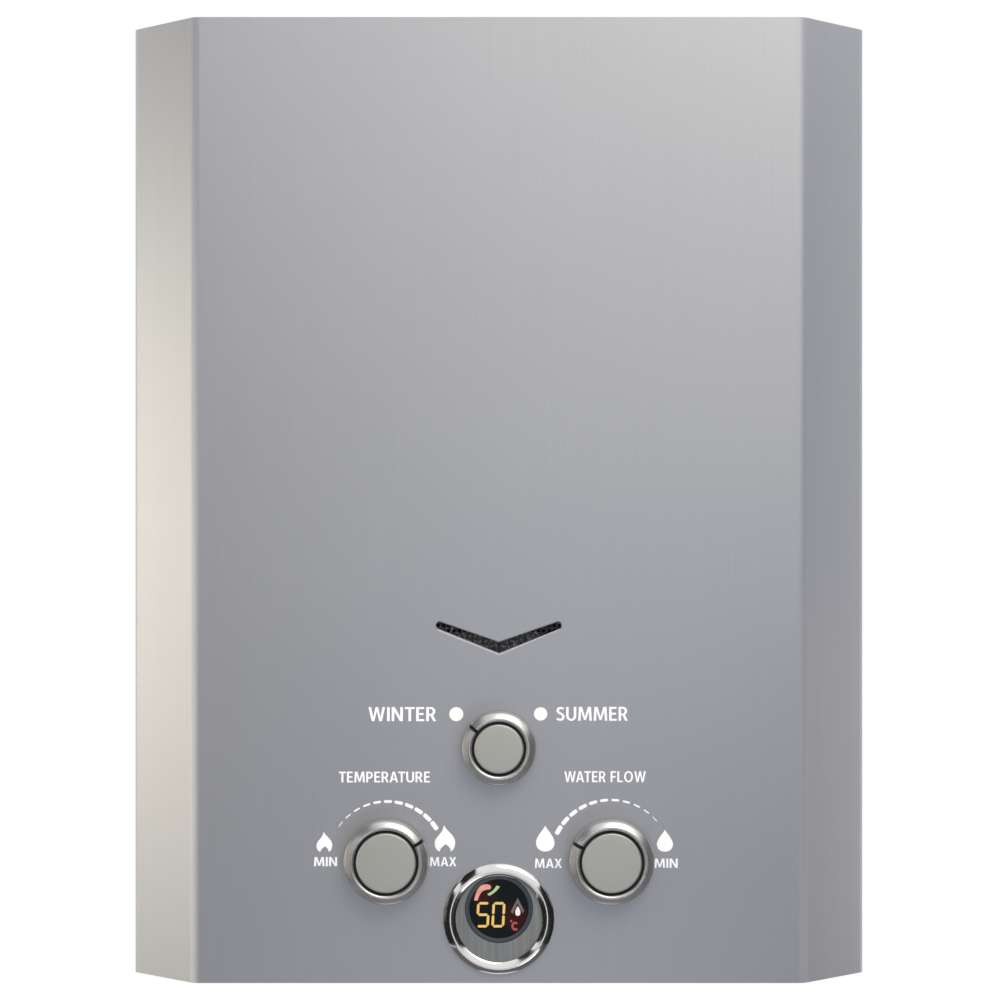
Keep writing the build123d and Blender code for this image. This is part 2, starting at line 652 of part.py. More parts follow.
def housing_screw_holes(x, length, radius):
    """Ring of holes through the diaphragm housing's rim, from x towards +X."""
    with BuildSketch(across(x)) as holes:
        with Locations((LINK_Y, VALVE_Z)):
            with PolarLocations(HOUSING_SCREW_RING, HOUSING_SCREWS):
                Circle(radius)
    extrude(holes.sketch, amount=length, mode=Mode.SUBTRACT)


with BuildPart() as water_valve_body:
    valve_block(WATER_X, WATER_WIDTH)
    housing_disc(DIAPHRAGM_X, HOUSING_LENGTH, HOUSING_RADIUS)
    drill_valve(WATER_X)
    housing_disc(DIAPHRAGM_X, HOUSING_LENGTH - HOUSING_WALL, HOUSING_INNER, Mode.SUBTRACT)
    housing_screw_holes(DIAPHRAGM_X, HOUSING_LENGTH - HOUSING_WALL, HOUSING_SCREW_HOLE)
    housing_disc(
        WATER_RIGHT - DRAIN_DEPTH - FIT_GAP, WATER_WIDTH, DRAIN_RADIUS + RUNNING_GAP, Mode.SUBTRACT
    )
save(water_valve_body, "water_valve_body")

with BuildPart() as diaphragm:
    housing_disc(COVER_RIGHT, DIAPHRAGM_THICK, HOUSING_RADIUS)
    housing_screw_holes(COVER_RIGHT, DIAPHRAGM_THICK, HOUSING_SCREW_HOLE)
save(diaphragm, "diaphragm")

with BuildPart() as diaphragm_cover:
    housing_disc(COVER_LEFT, HOUSING_COVER, HOUSING_RADIUS)
    housing_disc(COVER_LEFT + HOUSING_WALL, HOUSING_COVER, HOUSING_INNER, Mode.SUBTRACT)
    housing_disc(COVER_LEFT - BUSH_LENGTH, BUSH_LENGTH, BUSH_RADIUS)
    housing_disc(COVER_LEFT - BUSH_LENGTH, HOUSING_COVER, ROD_RADIUS + RUNNING_GAP, Mode.SUBTRACT)
    housing_screw_holes(COVER_LEFT, HOUSING_COVER, HOUSING_SCREW_HOLE)
save(diaphragm_cover, "diaphragm_cover")

# Housing screws: six cap screws that clamp cover, diaphragm and body together
HOUSING_SCREW_HEAD = 3.4
HOUSING_SCREW_RISE = 3.0

with BuildPart() as housing_screws:
    for plane, length, radius in (
        (across(COVER_LEFT - HOUSING_SCREW_RISE), HOUSING_SCREW_RISE, HOUSING_SCREW_HEAD),
        (
            across(COVER_LEFT),
            HOUSING_COVER + DIAPHRAGM_THICK + HOUSING_LENGTH - HOUSING_WALL - FIT_GAP,
            HOUSING_SCREW_HOLE - FIT_GAP / 2,
        ),
    ):
        with BuildSketch(plane):
            with Locations((LINK_Y, VALVE_Z)):
                with PolarLocations(HOUSING_SCREW_RING, HOUSING_SCREWS):
                    Circle(radius)
        extrude(amount=length)
save(housing_screws, "housing_screws")

# Push rod: plate against the diaphragm, rod with a switch collar, and the gas disc on its end
PLATE_DISC_RADIUS = 17.0
PLATE_DISC_THICK = 2.0
COLLAR_RADIUS = 6.0
COLLAR_LENGTH = 3.0
LEVER_THICK = 0.8
SWITCH_REACH = 16.0
PIVOT_X = GAS_RIGHT + SWITCH_REACH / 2
COLLAR_X = PIVOT_X + LEVER_THICK / 2 + FIT_GAP
ROD_PLATE_X = COVER_RIGHT - FIT_GAP - PLATE_DISC_THICK
DISC_X = GAS_RIGHT - DISC_SEAT_WALL - FIT_GAP - DISC_THICK

with BuildPart() as push_rod:
    housing_disc(DISC_X + DISC_THICK, ROD_PLATE_X - DISC_X - DISC_THICK, ROD_RADIUS)
    housing_disc(COLLAR_X, COLLAR_LENGTH, COLLAR_RADIUS)
    housing_disc(ROD_PLATE_X, PLATE_DISC_THICK, PLATE_DISC_RADIUS)
save(push_rod, "push_rod")

with BuildPart() as gas_disc:
    housing_disc(DISC_X, DISC_THICK, DISC_RADIUS)
    fillet(gas_disc.edges().filter_by(GeomType.CIRCLE), radius=SOLENOID_CHAMFER)
save(gas_disc, "gas_disc")

# Return spring of the gas disc: a helix between the chamber's end and the disc
SPRING_RADIUS = 5.5
SPRING_WIRE = 0.6
SPRING_TURNS = 5
SPRING_START = DISC_CHAMBER_X + SPRING_WIRE + SEAT_GAP
SPRING_SPAN = DISC_X - SPRING_WIRE - SEAT_GAP - SPRING_START

with BuildPart() as gas_spring:
    with BuildLine() as turns:
        Helix(
            SPRING_SPAN / SPRING_TURNS,
            SPRING_SPAN,
            SPRING_RADIUS,
            center=(SPRING_START, LINK_Y, VALVE_Z),
            direction=(1, 0, 0),
        )
    with BuildSketch(turns.line ^ 0):
        Circle(SPRING_WIRE)
    sweep(path=turns.line)
save(gas_spring, "gas_spring")

# Water switch: a small body on the gas valve, with a lever that the push rod's collar swings
SWITCH_DEPTH = 10.0
SWITCH_HEIGHT = 14.0
SWITCH_LIFT = 18.0
SWITCH_EAR = 1.4
SWITCH_EAR_WIDTH = 6.0
PIVOT_DROP = 3.0
PIVOT_RADIUS = 1.0
LEVER_CLEAR = 0.7
SWITCH_BOTTOM = VALVE_Z + SWITCH_LIFT
PIVOT_Z = SWITCH_BOTTOM - PIVOT_DROP
LEVER_TIP_Z = VALVE_Z + ROD_RADIUS + LEVER_CLEAR

with BuildPart() as water_switch:
    with BuildSketch(facing(LINK_Y + SWITCH_DEPTH / 2)):
        with Locations((GAS_RIGHT + SWITCH_REACH / 2, SWITCH_BOTTOM + SWITCH_HEIGHT / 2)):
            Rectangle(SWITCH_REACH, SWITCH_HEIGHT)
    extrude(amount=SWITCH_DEPTH)
    for ear_y in (LINK_Y + SWITCH_DEPTH / 2, LINK_Y - SWITCH_DEPTH / 2 + SWITCH_EAR):
        with BuildSketch(facing(ear_y)):
            with Locations((PIVOT_X, PIVOT_Z)):
                Circle(SWITCH_EAR_WIDTH / 2)
            with Locations((PIVOT_X, (PIVOT_Z + SWITCH_BOTTOM) / 2)):
                Rectangle(SWITCH_EAR_WIDTH, PIVOT_DROP)
            with Locations((PIVOT_X, PIVOT_Z)):
                Circle(PIVOT_RADIUS + RUNNING_GAP, mode=Mode.SUBTRACT)
        extrude(amount=SWITCH_EAR)
save(water_switch, "water_switch")

with BuildPart() as switch_lever:
    with BuildSketch(facing(LINK_Y + SWITCH_DEPTH / 2)):
        with Locations((PIVOT_X, PIVOT_Z)):
            Circle(PIVOT_RADIUS)
    extrude(amount=SWITCH_DEPTH)
    with BuildSketch(facing(LINK_Y + SWITCH_DEPTH / 2 - SWITCH_EAR - FIT_GAP)):
        with Locations((PIVOT_X, (PIVOT_Z + LEVER_TIP_Z) / 2)):
            Rectangle(LEVER_THICK, PIVOT_Z - LEVER_TIP_Z)
    extrude(amount=SWITCH_DEPTH - 2 * (SWITCH_EAR + FIT_GAP))
save(switch_lever, "switch_lever")

# Season valve: block above the other two that shuts off part of the burner in summer
SEASON_BLOCK_WIDTH = 40.0
SEASON_BLOCK_HEIGHT = 30.0
SEASON_BLOCK_DEPTH = 40.0
SEASON_BLOCK_Y = VALVE_FRONT_Y + SEASON_BLOCK_DEPTH / 2
SEASON_TOP = SEASON_Z + SEASON_BLOCK_HEIGHT / 2
SEASON_PORT = 5.0

with BuildPart() as season_valve:
    with BuildSketch(Plane.XY.offset(SEASON_Z - SEASON_BLOCK_HEIGHT / 2)):
        with Locations((0, SEASON_BLOCK_Y)):
            RectangleRounded(SEASON_BLOCK_WIDTH, SEASON_BLOCK_DEPTH, VALVE_EDGE)
    extrude(amount=SEASON_BLOCK_HEIGHT)
    with BuildSketch(facing(VALVE_FRONT_Y)):
        with Locations((0, SEASON_Z)):
            Circle(PLUG_RADIUS + RUNNING_GAP)
    extrude(amount=-(PLUG_LENGTH + 2 * FIT_GAP), mode=Mode.SUBTRACT)
save(season_valve, "season_valve_body")

# Pipe bracket: steel shelf on the back plate that carries the three connections below the valves
BRACKET_SHEET = 1.5
BRACKET_MARGIN = 20.0
BRACKET_DEPTH = 96.0
BRACKET_FLANGE = 26.0
BRACKET_TOP = -205.0
THREAD_RADIUS = 10.48
THREAD_HOLE = 10.8
HOT_PLACE = (HOT_X, HOT_Y)
GAS_PLACE = (GAS_X, VALVE_Y)
COLD_PLACE = (WATER_X, VALVE_Y)
CONNECTIONS = (HOT_PLACE, GAS_PLACE, COLD_PLACE)
BRACKET_LEFT = HOT_X - BRACKET_MARGIN
BRACKET_RIGHT = WATER_X + BRACKET_MARGIN
BRACKET_WIDTH = BRACKET_RIGHT - BRACKET_LEFT
BRACKET_MID_X = (BRACKET_LEFT + BRACKET_RIGHT) / 2
BRACKET_UNDER = BRACKET_TOP - BRACKET_SHEET

with BuildPart() as pipe_bracket:
    with BuildSketch(Plane.XY.offset(BRACKET_UNDER)):
        with Locations((BRACKET_MID_X, BACK_Y - BRACKET_DEPTH / 2)):
            Rectangle(BRACKET_WIDTH, BRACKET_DEPTH)
        with Locations(*CONNECTIONS):
            Circle(THREAD_HOLE, mode=Mode.SUBTRACT)
    extrude(amount=BRACKET_SHEET)
    with BuildSketch(facing(BACK_Y)):
        with Locations((BRACKET_MID_X, BRACKET_UNDER + BRACKET_FLANGE / 2)):
            Rectangle(BRACKET_WIDTH, BRACKET_FLANGE)
    extrude(amount=BRACKET_SHEET)
save(pipe_bracket, "pipe_bracket")

# Connections: brass fittings with a collar on the bracket, and a half-inch thread that ends just
# below the casing
FITTING_END = -228.0
FITTING_FLATS = 24.0
FITTING_BORE = 7.0
THREAD_CHAMFER = 1.0
THREAD_LENGTH = 15.0
NECK_RADIUS = 10.3
HOT_TOP = -190.0


def make_fitting(place, top, label):
    """Fitting at a place: collar from the bracket up to top, thread down through the bracket."""
    with BuildPart() as fitting:
        with BuildSketch(Plane.XY.offset(FITTING_END)):
            with Locations(place):
                Circle(THREAD_RADIUS)
        extrude(amount=THREAD_LENGTH)
        chamfer(fitting.faces().sort_by(Axis.Z)[0].edges(), length=THREAD_CHAMFER)
        with BuildSketch(Plane.XY.offset(FITTING_END + THREAD_LENGTH)):
            with Locations(place):
                Circle(NECK_RADIUS)
        extrude(amount=BRACKET_TOP - FITTING_END - THREAD_LENGTH)
        with BuildSketch(Plane.XY.offset(BRACKET_TOP)):
            with Locations(place):
                RegularPolygon(FITTING_FLATS / 2, 6, major_radius=False)
        extrude(amount=top - BRACKET_TOP)
        with BuildSketch(Plane.XY.offset(FITTING_END)):
            with Locations(place):
                Circle(FITTING_BORE)
        extrude(amount=top - FITTING_END, mode=Mode.SUBTRACT)
    save(fitting, label)


make_fitting(COLD_PLACE, VALVE_BOTTOM, "cold_inlet")
make_fitting(GAS_PLACE, VALVE_BOTTOM, "gas_inlet")
make_fitting(HOT_PLACE, HOT_TOP, "hot_outlet")

# Drain plug: wing-headed plug in the right side of the water valve
DRAIN_HEAD_RADIUS = 7.0
DRAIN_HEAD = 4.0
DRAIN_WING = 3.0
DRAIN_WING_REACH = 6.0
DRAIN_WING_EDGE = 1.0
DRAIN_HEAD_X = WATER_RIGHT + FIT_GAP

with BuildPart() as drain_plug:
    housing_disc(WATER_RIGHT - DRAIN_DEPTH, DRAIN_DEPTH + FIT_GAP, DRAIN_RADIUS)
    housing_disc(DRAIN_HEAD_X, DRAIN_HEAD, DRAIN_HEAD_RADIUS)
    with BuildSketch(across(DRAIN_HEAD_X + DRAIN_HEAD)):
        with Locations((LINK_Y, VALVE_Z)):
            RectangleRounded(2 * DRAIN_HEAD_RADIUS, DRAIN_WING, DRAIN_WING_EDGE)
    extrude(amount=DRAIN_WING_REACH)
save(drain_plug, "drain_plug")

# Battery box: two large cells stand in it behind a lid that swings down from its rear edge
BATTERY_RADIUS = 16.5
BATTERY_LENGTH = 58.0
BATTERY_NUB_RADIUS = 4.0
BATTERY_NUB = 1.5
BOX_WALL = 1.5
BOX_GAP = 26.0
BOX_BOTTOM = -212.0
LID_THICK = 3.0
LID_PIN = 1.0
LID_EAR = 3.0
LID_SETBACK = 3.5
BOX_WIDTH = 2 * (BATTERY_RADIUS + FIT_GAP + BOX_WALL)
BOX_DEPTH = 4 * BATTERY_RADIUS + 3 * FIT_GAP + 2 * BOX_WALL
BOX_HEIGHT = BATTERY_LENGTH + BATTERY_NUB + 2 * FIT_GAP + BOX_WALL
BOX_LEFT = BRACKET_RIGHT + BOX_GAP
BOX_X = BOX_LEFT + BOX_WIDTH / 2
BOX_Y = BACK_Y - BOX_DEPTH / 2
LID_AXIS_Y = BACK_Y - LID_EAR - FIT_GAP
LID_AXIS_Z = BOX_BOTTOM - FIT_GAP - LID_THICK / 2
LID_REAR_Y = LID_AXIS_Y - LID_SETBACK
LID_FRONT_Y = BACK_Y - BOX_DEPTH

with BuildPart() as battery_box:
    with BuildSketch(Plane.XY.offset(BOX_BOTTOM)):
        with Locations((BOX_X, BOX_Y)):
            Rectangle(BOX_WIDTH, BOX_DEPTH)
    extrude(amount=BOX_HEIGHT)
    with BuildSketch(Plane.XY.offset(BOX_BOTTOM)):
        with Locations((BOX_X, BOX_Y)):
            Rectangle(BOX_WIDTH - 2 * BOX_WALL, BOX_DEPTH - 2 * BOX_WALL)
    extrude(amount=BOX_HEIGHT - BOX_WALL, mode=Mode.SUBTRACT)
    for ear_x in (BOX_LEFT, BOX_LEFT + BOX_WIDTH - LID_EAR):
        with BuildSketch(across(ear_x)):
            with Locations((LID_AXIS_Y, LID_AXIS_Z)):
                Circle(LID_EAR)
            with Locations((LID_AXIS_Y, (LID_AXIS_Z + BOX_BOTTOM) / 2)):
                Rectangle(2 * LID_EAR, BOX_BOTTOM - LID_AXIS_Z)
            with Locations((LID_AXIS_Y, LID_AXIS_Z)):
                Circle(LID_PIN + RUNNING_GAP, mode=Mode.SUBTRACT)
        extrude(amount=LID_EAR)
save(battery_box, "battery_box")

with BuildPart() as battery_lid:
    with BuildSketch(across(BOX_LEFT + FIT_GAP)):
        with Locations((LID_AXIS_Y, LID_AXIS_Z)):
            Circle(LID_PIN)
    extrude(amount=BOX_WIDTH - 2 * FIT_GAP)
    with BuildSketch(across(BOX_LEFT + LID_EAR + FIT_GAP)):
        with Locations((LID_AXIS_Y, LID_AXIS_Z)):
            Circle(LID_THICK / 2)
        with Locations(((LID_AXIS_Y + LID_REAR_Y) / 2, LID_AXIS_Z)):
            Rectangle(LID_SETBACK, LID_THICK)
    extrude(amount=BOX_WIDTH - 2 * (LID_EAR + FIT_GAP))
    with BuildSketch(Plane.XY.offset(BOX_BOTTOM - FIT_GAP)):
        with Locations((BOX_X, (LID_REAR_Y + LID_FRONT_Y) / 2)):
            Rectangle(BOX_WIDTH, LID_REAR_Y - LID_FRONT_Y)
    extrude(amount=-LID_THICK)
save(battery_lid, "battery_lid")

with BuildPart() as batteries:
    for radius, level, length in (
        (BATTERY_RADIUS, BOX_BOTTOM, BATTERY_LENGTH),
        (BATTERY_NUB_RADIUS, BOX_BOTTOM + BATTERY_LENGTH, BATTERY_NUB),
    ):
        with BuildSketch(Plane.XY.offset(level + FIT_GAP)):
            with Locations((BOX_X, BOX_Y)):
                with GridLocations(0, 2 * BATTERY_RADIUS + FIT_GAP, 1, 2):
                    Circle(radius)
        extrude(amount=length)
save(batteries, "batteries")

# Burner: open steel frame with nine flat bars in it, fed from the front by a row of nozzles
CHAMBER_CORNER = 16.0
BURNER_HEIGHT = 30.0
BURNER_SHEET = 1.0
BURNER_BARS = 9
BAR_SIDE_GAP = 13.5
BAR_WIDTH = 7.0
BAR_HEIGHT = 22.0
BAR_DROP = 4.0
BAR_MOUTH = 2.6
BAR_MOUTH_DEPTH = 20.0
BAR_PORTS = 11
BAR_PORT_WIDTH = 1.2
BAR_PORT_LENGTH = 5.0
BAR_PORT_DEPTH = 2.0
BAR_PORT_PITCH = 7.0
LEDGE_REACH = 6.0
LEDGE_SHEET = 1.2
NOZZLE_RADIUS = 2.2
NOZZLE_HOLE = 3.2
BAR_PITCH = (CHAMBER_WIDTH - 2 * (BURNER_SHEET + BAR_SIDE_GAP) - BAR_WIDTH) / (BURNER_BARS - 1)
BURNER_BOTTOM = CHAMBER_BOTTOM - BURNER_HEIGHT
BAR_TOP = CHAMBER_BOTTOM - BAR_DROP
BAR_BOTTOM = BAR_TOP - BAR_HEIGHT
MOUTH_Z = BAR_BOTTOM + BAR_HEIGHT / 2
BAR_SPAN = CHAMBER_SPAN - 2 * (BURNER_SHEET + FIT_GAP)
BURNER_FRONT = CHAMBER_Y - CHAMBER_SPAN / 2
BURNER_REAR = CHAMBER_Y + CHAMBER_SPAN / 2
LEDGE_TOP = BAR_BOTTOM - FIT_GAP
LEDGE_SPREAD = CHAMBER_SPAN - LEDGE_REACH - BURNER_SHEET


def chamber_outline(inset):
    """Rounded plan of the burner and chamber, drawn in by inset."""
    with Locations((0, CHAMBER_Y)):
        RectangleRounded(
            CHAMBER_WIDTH - 2 * inset, CHAMBER_SPAN - 2 * inset, CHAMBER_CORNER - inset
        )


with BuildPart() as burner_frame:
    with BuildSketch(Plane.XY.offset(BURNER_BOTTOM)):
        chamber_outline(0)
    extrude(amount=BURNER_HEIGHT)
    with BuildSketch(Plane.XY.offset(BURNER_BOTTOM)):
        chamber_outline(BURNER_SHEET)
    extrude(amount=BURNER_HEIGHT, mode=Mode.SUBTRACT)
    with BuildSketch(Plane.XY.offset(LEDGE_TOP)):
        with Locations((0, CHAMBER_Y)):
            with GridLocations(0, LEDGE_SPREAD, 1, 2):
                Rectangle(CHAMBER_WIDTH - 2 * CHAMBER_CORNER, LEDGE_REACH)
    extrude(amount=-LEDGE_SHEET)
    with BuildSketch(facing(BURNER_FRONT)):
        with Locations((0, MOUTH_Z)):
            with GridLocations(BAR_PITCH, 0, BURNER_BARS, 1):
                Circle(NOZZLE_HOLE)
    extrude(amount=-BURNER_SHEET, mode=Mode.SUBTRACT)
save(burner_frame, "burner_frame")

with BuildPart() as burner_bars:
    with BuildSketch(Plane.XY.offset(BAR_BOTTOM)):
        with Locations((0, CHAMBER_Y)):
            with GridLocations(BAR_PITCH, 0, BURNER_BARS, 1):
                Rectangle(BAR_WIDTH, BAR_SPAN)
    extrude(amount=BAR_HEIGHT)
    with BuildSketch(facing(BURNER_FRONT)):
        with Locations((0, MOUTH_Z)):
            with GridLocations(BAR_PITCH, 0, BURNER_BARS, 1):
                Circle(BAR_MOUTH)
    extrude(amount=-BAR_MOUTH_DEPTH, mode=Mode.SUBTRACT)
    with BuildSketch(Plane.XY.offset(BAR_TOP)):
        with Locations((0, CHAMBER_Y)):
            with GridLocations(BAR_PITCH, BAR_PORT_PITCH, BURNER_BARS, BAR_PORTS):
                Rectangle(BAR_PORT_LENGTH, BAR_PORT_WIDTH)
    extrude(amount=-BAR_PORT_DEPTH, mode=Mode.SUBTRACT)
save(burner_bars, "burner_bars")

# Gas manifold: bar across the burner's front with one nozzle for each burner bar
MANIFOLD_END = 12.0
MANIFOLD_HEIGHT = 18.0
MANIFOLD_DEPTH = 14.0
MANIFOLD_GAP = 4.0
MANIFOLD_BORE = 4.0
MANIFOLD_LENGTH = (BURNER_BARS - 1) * BAR_PITCH + 2 * MANIFOLD_END
MANIFOLD_REAR = BURNER_FRONT - MANIFOLD_GAP
MANIFOLD_Y = MANIFOLD_REAR - MANIFOLD_DEPTH / 2
MANIFOLD_BOTTOM = MOUTH_Z - MANIFOLD_HEIGHT / 2
NOZZLE_LENGTH = MANIFOLD_GAP + BURNER_SHEET / 2

with BuildPart() as gas_manifold:
    with BuildSketch(facing(MANIFOLD_REAR)):
        with Locations((0, MOUTH_Z)):
            Rectangle(MANIFOLD_LENGTH, MANIFOLD_HEIGHT)
    extrude(amount=MANIFOLD_DEPTH)
    with BuildSketch(facing(MANIFOLD_REAR)):
        with Locations((0, MOUTH_Z)):
            with GridLocations(BAR_PITCH, 0, BURNER_BARS, 1):
                Circle(NOZZLE_RADIUS)
    extrude(amount=-NOZZLE_LENGTH)
    with BuildSketch(across(-MANIFOLD_LENGTH / 2)):
        with Locations((MANIFOLD_Y, MOUTH_Z)):
            Circle(MANIFOLD_BORE)
    extrude(amount=MANIFOLD_LENGTH - MANIFOLD_HEIGHT, mode=Mode.SUBTRACT)
save(gas_manifold, "gas_manifold")

# Combustion chamber: copper jacket on the burner, with a sight slot and three electrode holes in front
JACKET_SHEET = 0.8
SIGHT_WIDTH = 60.0
SIGHT_HEIGHT = 9.0
SIGHT_RISE = 9.0
ELECTRODE_RISE = 20.0
ELECTRODE_RADIUS = 2.8
ELECTRODE_PITCH = 24.0
ELECTRODES = 3
SIGHT_Z = CHAMBER_BOTTOM + SIGHT_RISE
ELECTRODE_Z = CHAMBER_BOTTOM + ELECTRODE_RISE

with BuildPart() as heat_chamber:
    with BuildSketch(Plane.XY.offset(CHAMBER_BOTTOM)):
        chamber_outline(0)
    extrude(amount=CHAMBER_TOP - CHAMBER_BOTTOM)
    with BuildSketch(Plane.XY.offset(CHAMBER_BOTTOM)):
        chamber_outline(JACKET_SHEET)
    extrude(amount=CHAMBER_TOP - CHAMBER_BOTTOM, mode=Mode.SUBTRACT)
    with BuildSketch(facing(BURNER_FRONT)):
        with Locations((0, SIGHT_Z)):
            SlotOverall(SIGHT_WIDTH, SIGHT_HEIGHT)
        with Locations((0, ELECTRODE_Z)):
            with GridLocations(ELECTRODE_PITCH, 0, ELECTRODES, 1):
                Circle(ELECTRODE_RADIUS + FIT_GAP)
    extrude(amount=-JACKET_SHEET, mode=Mode.SUBTRACT)
save(heat_chamber, "heat_chamber")

# Electrodes: two igniters and a flame probe, ceramic with a wire tip, through the chamber's front
CERAMIC_LENGTH = 22.0
CERAMIC_OUTSIDE = 11.0
PROBE_RADIUS = 0.8
PROBE_LENGTH = 14.0

with BuildPart() as electrodes:
    for place_y, length, radius in (
        (BURNER_FRONT - CERAMIC_OUTSIDE + CERAMIC_LENGTH, CERAMIC_LENGTH, ELECTRODE_RADIUS),
        (BURNER_FRONT - CERAMIC_OUTSIDE + CERAMIC_LENGTH + PROBE_LENGTH, PROBE_LENGTH, PROBE_RADIUS),
    ):
        with BuildSketch(facing(place_y)):
            with Locations((0, ELECTRODE_Z)):
                with GridLocations(ELECTRODE_PITCH, 0, ELECTRODES, 1):
                    Circle(radius)
        extrude(amount=length)
save(electrodes, "electrodes")

# Thermal cutout: snap disc clipped to the chamber's front wall
CUTOUT_RADIUS = 8.0
CUTOUT_THICK = 7.0
CUTOUT_X = -40.0
CUTOUT_Z = 28.0
CUTOUT_LUG = 5.0

with BuildPart() as thermal_cutout:
    with BuildSketch(facing(BURNER_FRONT)):
        with Locations((CUTOUT_X, CUTOUT_Z)):
            Circle(CUTOUT_RADIUS)
    extrude(amount=CUTOUT_THICK)
    with BuildSketch(facing(BURNER_FRONT - CUTOUT_THICK)):
        with Locations((CUTOUT_X, CUTOUT_Z)):
            with GridLocations(CUTOUT_RADIUS, 0, 2, 1):
                Rectangle(TERMINAL_THICK, TERMINAL_WIDTH)
    extrude(amount=CUTOUT_LUG)
save(thermal_cutout, "thermal_cutout")

# Heat exchanger: block of thin copper fins with four sleeves, on top of the chamber
FIN_COUNT = 26
FIN_SHEET = 0.6
FIN_HEIGHT = 42.0
FIN_INSET = 2.0
TUBE_RADIUS = 6.0
TUBE_WALL = 0.8
SLEEVE_WALL = 0.6
FIN_WIDTH = CHAMBER_WIDTH - 2 * FIN_INSET
FIN_TOP = CHAMBER_TOP + FIN_HEIGHT
TUBE_Z = CHAMBER_TOP + FIN_HEIGHT / 2
FIN_PITCH = (FIN_WIDTH - FIN_SHEET) / (FIN_COUNT - 1)

with BuildPart() as exchanger_fins:
    with BuildSketch(Plane.XY.offset(CHAMBER_TOP)):
        with Locations((0, CHAMBER_Y)):
            with GridLocations(FIN_PITCH, 0, FIN_COUNT, 1):
                Rectangle(FIN_SHEET, CHAMBER_SPAN)
            with GridLocations(0, CHAMBER_SPAN - FIN_SHEET, 1, 2):
                Rectangle(FIN_WIDTH, FIN_SHEET)
    extrude(amount=FIN_HEIGHT)
    with BuildSketch(across(-FIN_WIDTH / 2)):
        with Locations((CHAMBER_Y, TUBE_Z)):
            with GridLocations(ROW_PITCH, 0, TUBE_ROWS, 1):
                Circle(TUBE_RADIUS + RUNNING_GAP + SLEEVE_WALL)
    extrude(amount=FIN_WIDTH)
    with BuildSketch(across(-FIN_WIDTH / 2)):
        with Locations((CHAMBER_Y, TUBE_Z)):
            with GridLocations(ROW_PITCH, 0, TUBE_ROWS, 1):
                Circle(TUBE_RADIUS + RUNNING_GAP)
    extrude(amount=FIN_WIDTH, mode=Mode.SUBTRACT)
save(exchanger_fins, "exchanger_fins")


def run_pipe(points, bends, radius):
    """Bent tube of the given outside radius along the points."""
    with BuildLine() as route:
        FilletPolyline(*points, radius=bends)
    with BuildSketch(route.line ^ 0) as section:
        Circle(radius)
        Circle(radius - TUBE_WALL, mode=Mode.SUBTRACT)
    sweep(section.sketch, path=route.line)


# Exchanger tube: one copper tube that runs four times through the fins, with both ends on the left
RETURN_BEND = 11.8
LEG_DROP = 26.0
LEG_END = TUBE_Z - LEG_DROP
ROW_YS = [CHAMBER_Y + (row - (TUBE_ROWS - 1) / 2) * ROW_PITCH for row in range(TUBE_ROWS)]

with BuildPart() as exchanger_tube:
    run_pipe(
        (
            (-RETURN_X, ROW_YS[0], LEG_END),
            (-RETURN_X, ROW_YS[0], TUBE_Z),
            (RETURN_X, ROW_YS[0], TUBE_Z),
            (RETURN_X, ROW_YS[1], TUBE_Z),
            (-RETURN_X, ROW_YS[1], TUBE_Z),
            (-RETURN_X, ROW_YS[2], TUBE_Z),
            (RETURN_X, ROW_YS[2], TUBE_Z),
            (RETURN_X, ROW_YS[3], TUBE_Z),
            (-RETURN_X, ROW_YS[3], TUBE_Z),
            (-RETURN_X, ROW_YS[3], LEG_END),
        ),
        RETURN_BEND,
        TUBE_RADIUS,
    )
save(exchanger_tube, "exchanger_tube")

# Jacket coil: the same tube wound up round the chamber, from the cold pipe to the exchanger
COIL_BEND = 22.0
COIL_TURN = 10.0
COIL_CORNERS = 6
COIL_X = CHAMBER_WIDTH / 2 + FIT_GAP + TUBE_RADIUS
COIL_FRONT = BURNER_FRONT - FIT_GAP - TUBE_RADIUS
COIL_REAR = BURNER_REAR + FIT_GAP + TUBE_RADIUS
COLD_JOINT = BURNER_BOTTOM - LEDGE_REACH - BURNER_SHEET
COIL_LEVEL_SHARES = (0.122, 0.2, 0.311, 0.378, 0.489, 0.556, 0.756, 0.867)
CHAMBER_HEIGHT = CHAMBER_TOP - CHAMBER_BOTTOM
COIL_LEVELS = [CHAMBER_BOTTOM + share * CHAMBER_HEIGHT for share in COIL_LEVEL_SHARES]

with BuildPart() as jacket_coil:
    run_pipe(
        (
            (COIL_X, VALVE_Y, COLD_JOINT),
            (COIL_X, VALVE_Y, COIL_LEVELS[0]),
            (COIL_X, COIL_FRONT, COIL_LEVELS[1]),
            (-COIL_X, COIL_FRONT, COIL_LEVELS[2]),
            (-COIL_X, COIL_REAR, COIL_LEVELS[3]),
            (COIL_X, COIL_REAR, COIL_LEVELS[4]),
            (COIL_X, COIL_FRONT, COIL_LEVELS[5]),
            (-RETURN_X, COIL_FRONT, COIL_LEVELS[6]),
            (-RETURN_X, ROW_YS[0], COIL_LEVELS[7]),
            (-RETURN_X, ROW_YS[0], LEG_END),
        ),
        (COIL_BEND,) * COIL_CORNERS + (COIL_TURN, COIL_TURN),
        TUBE_RADIUS,
    )
save(jacket_coil, "jacket_coil")

# Cold pipe from the water valve to the coil, and hot pipe from the exchanger down to its outlet
COLD_BEND = 10.0
COLD_RUN_Z = -116.0

with BuildPart() as cold_pipe:
    run_pipe(
        (
            (WATER_X, VALVE_Y, VALVE_TOP),
            (WATER_X, VALVE_Y, COLD_RUN_Z),
            (COIL_X, VALVE_Y, COLD_RUN_Z),
            (COIL_X, VALVE_Y, COLD_JOINT),
        ),
        COLD_BEND,
        TUBE_RADIUS,
    )
save(cold_pipe, "cold_pipe")

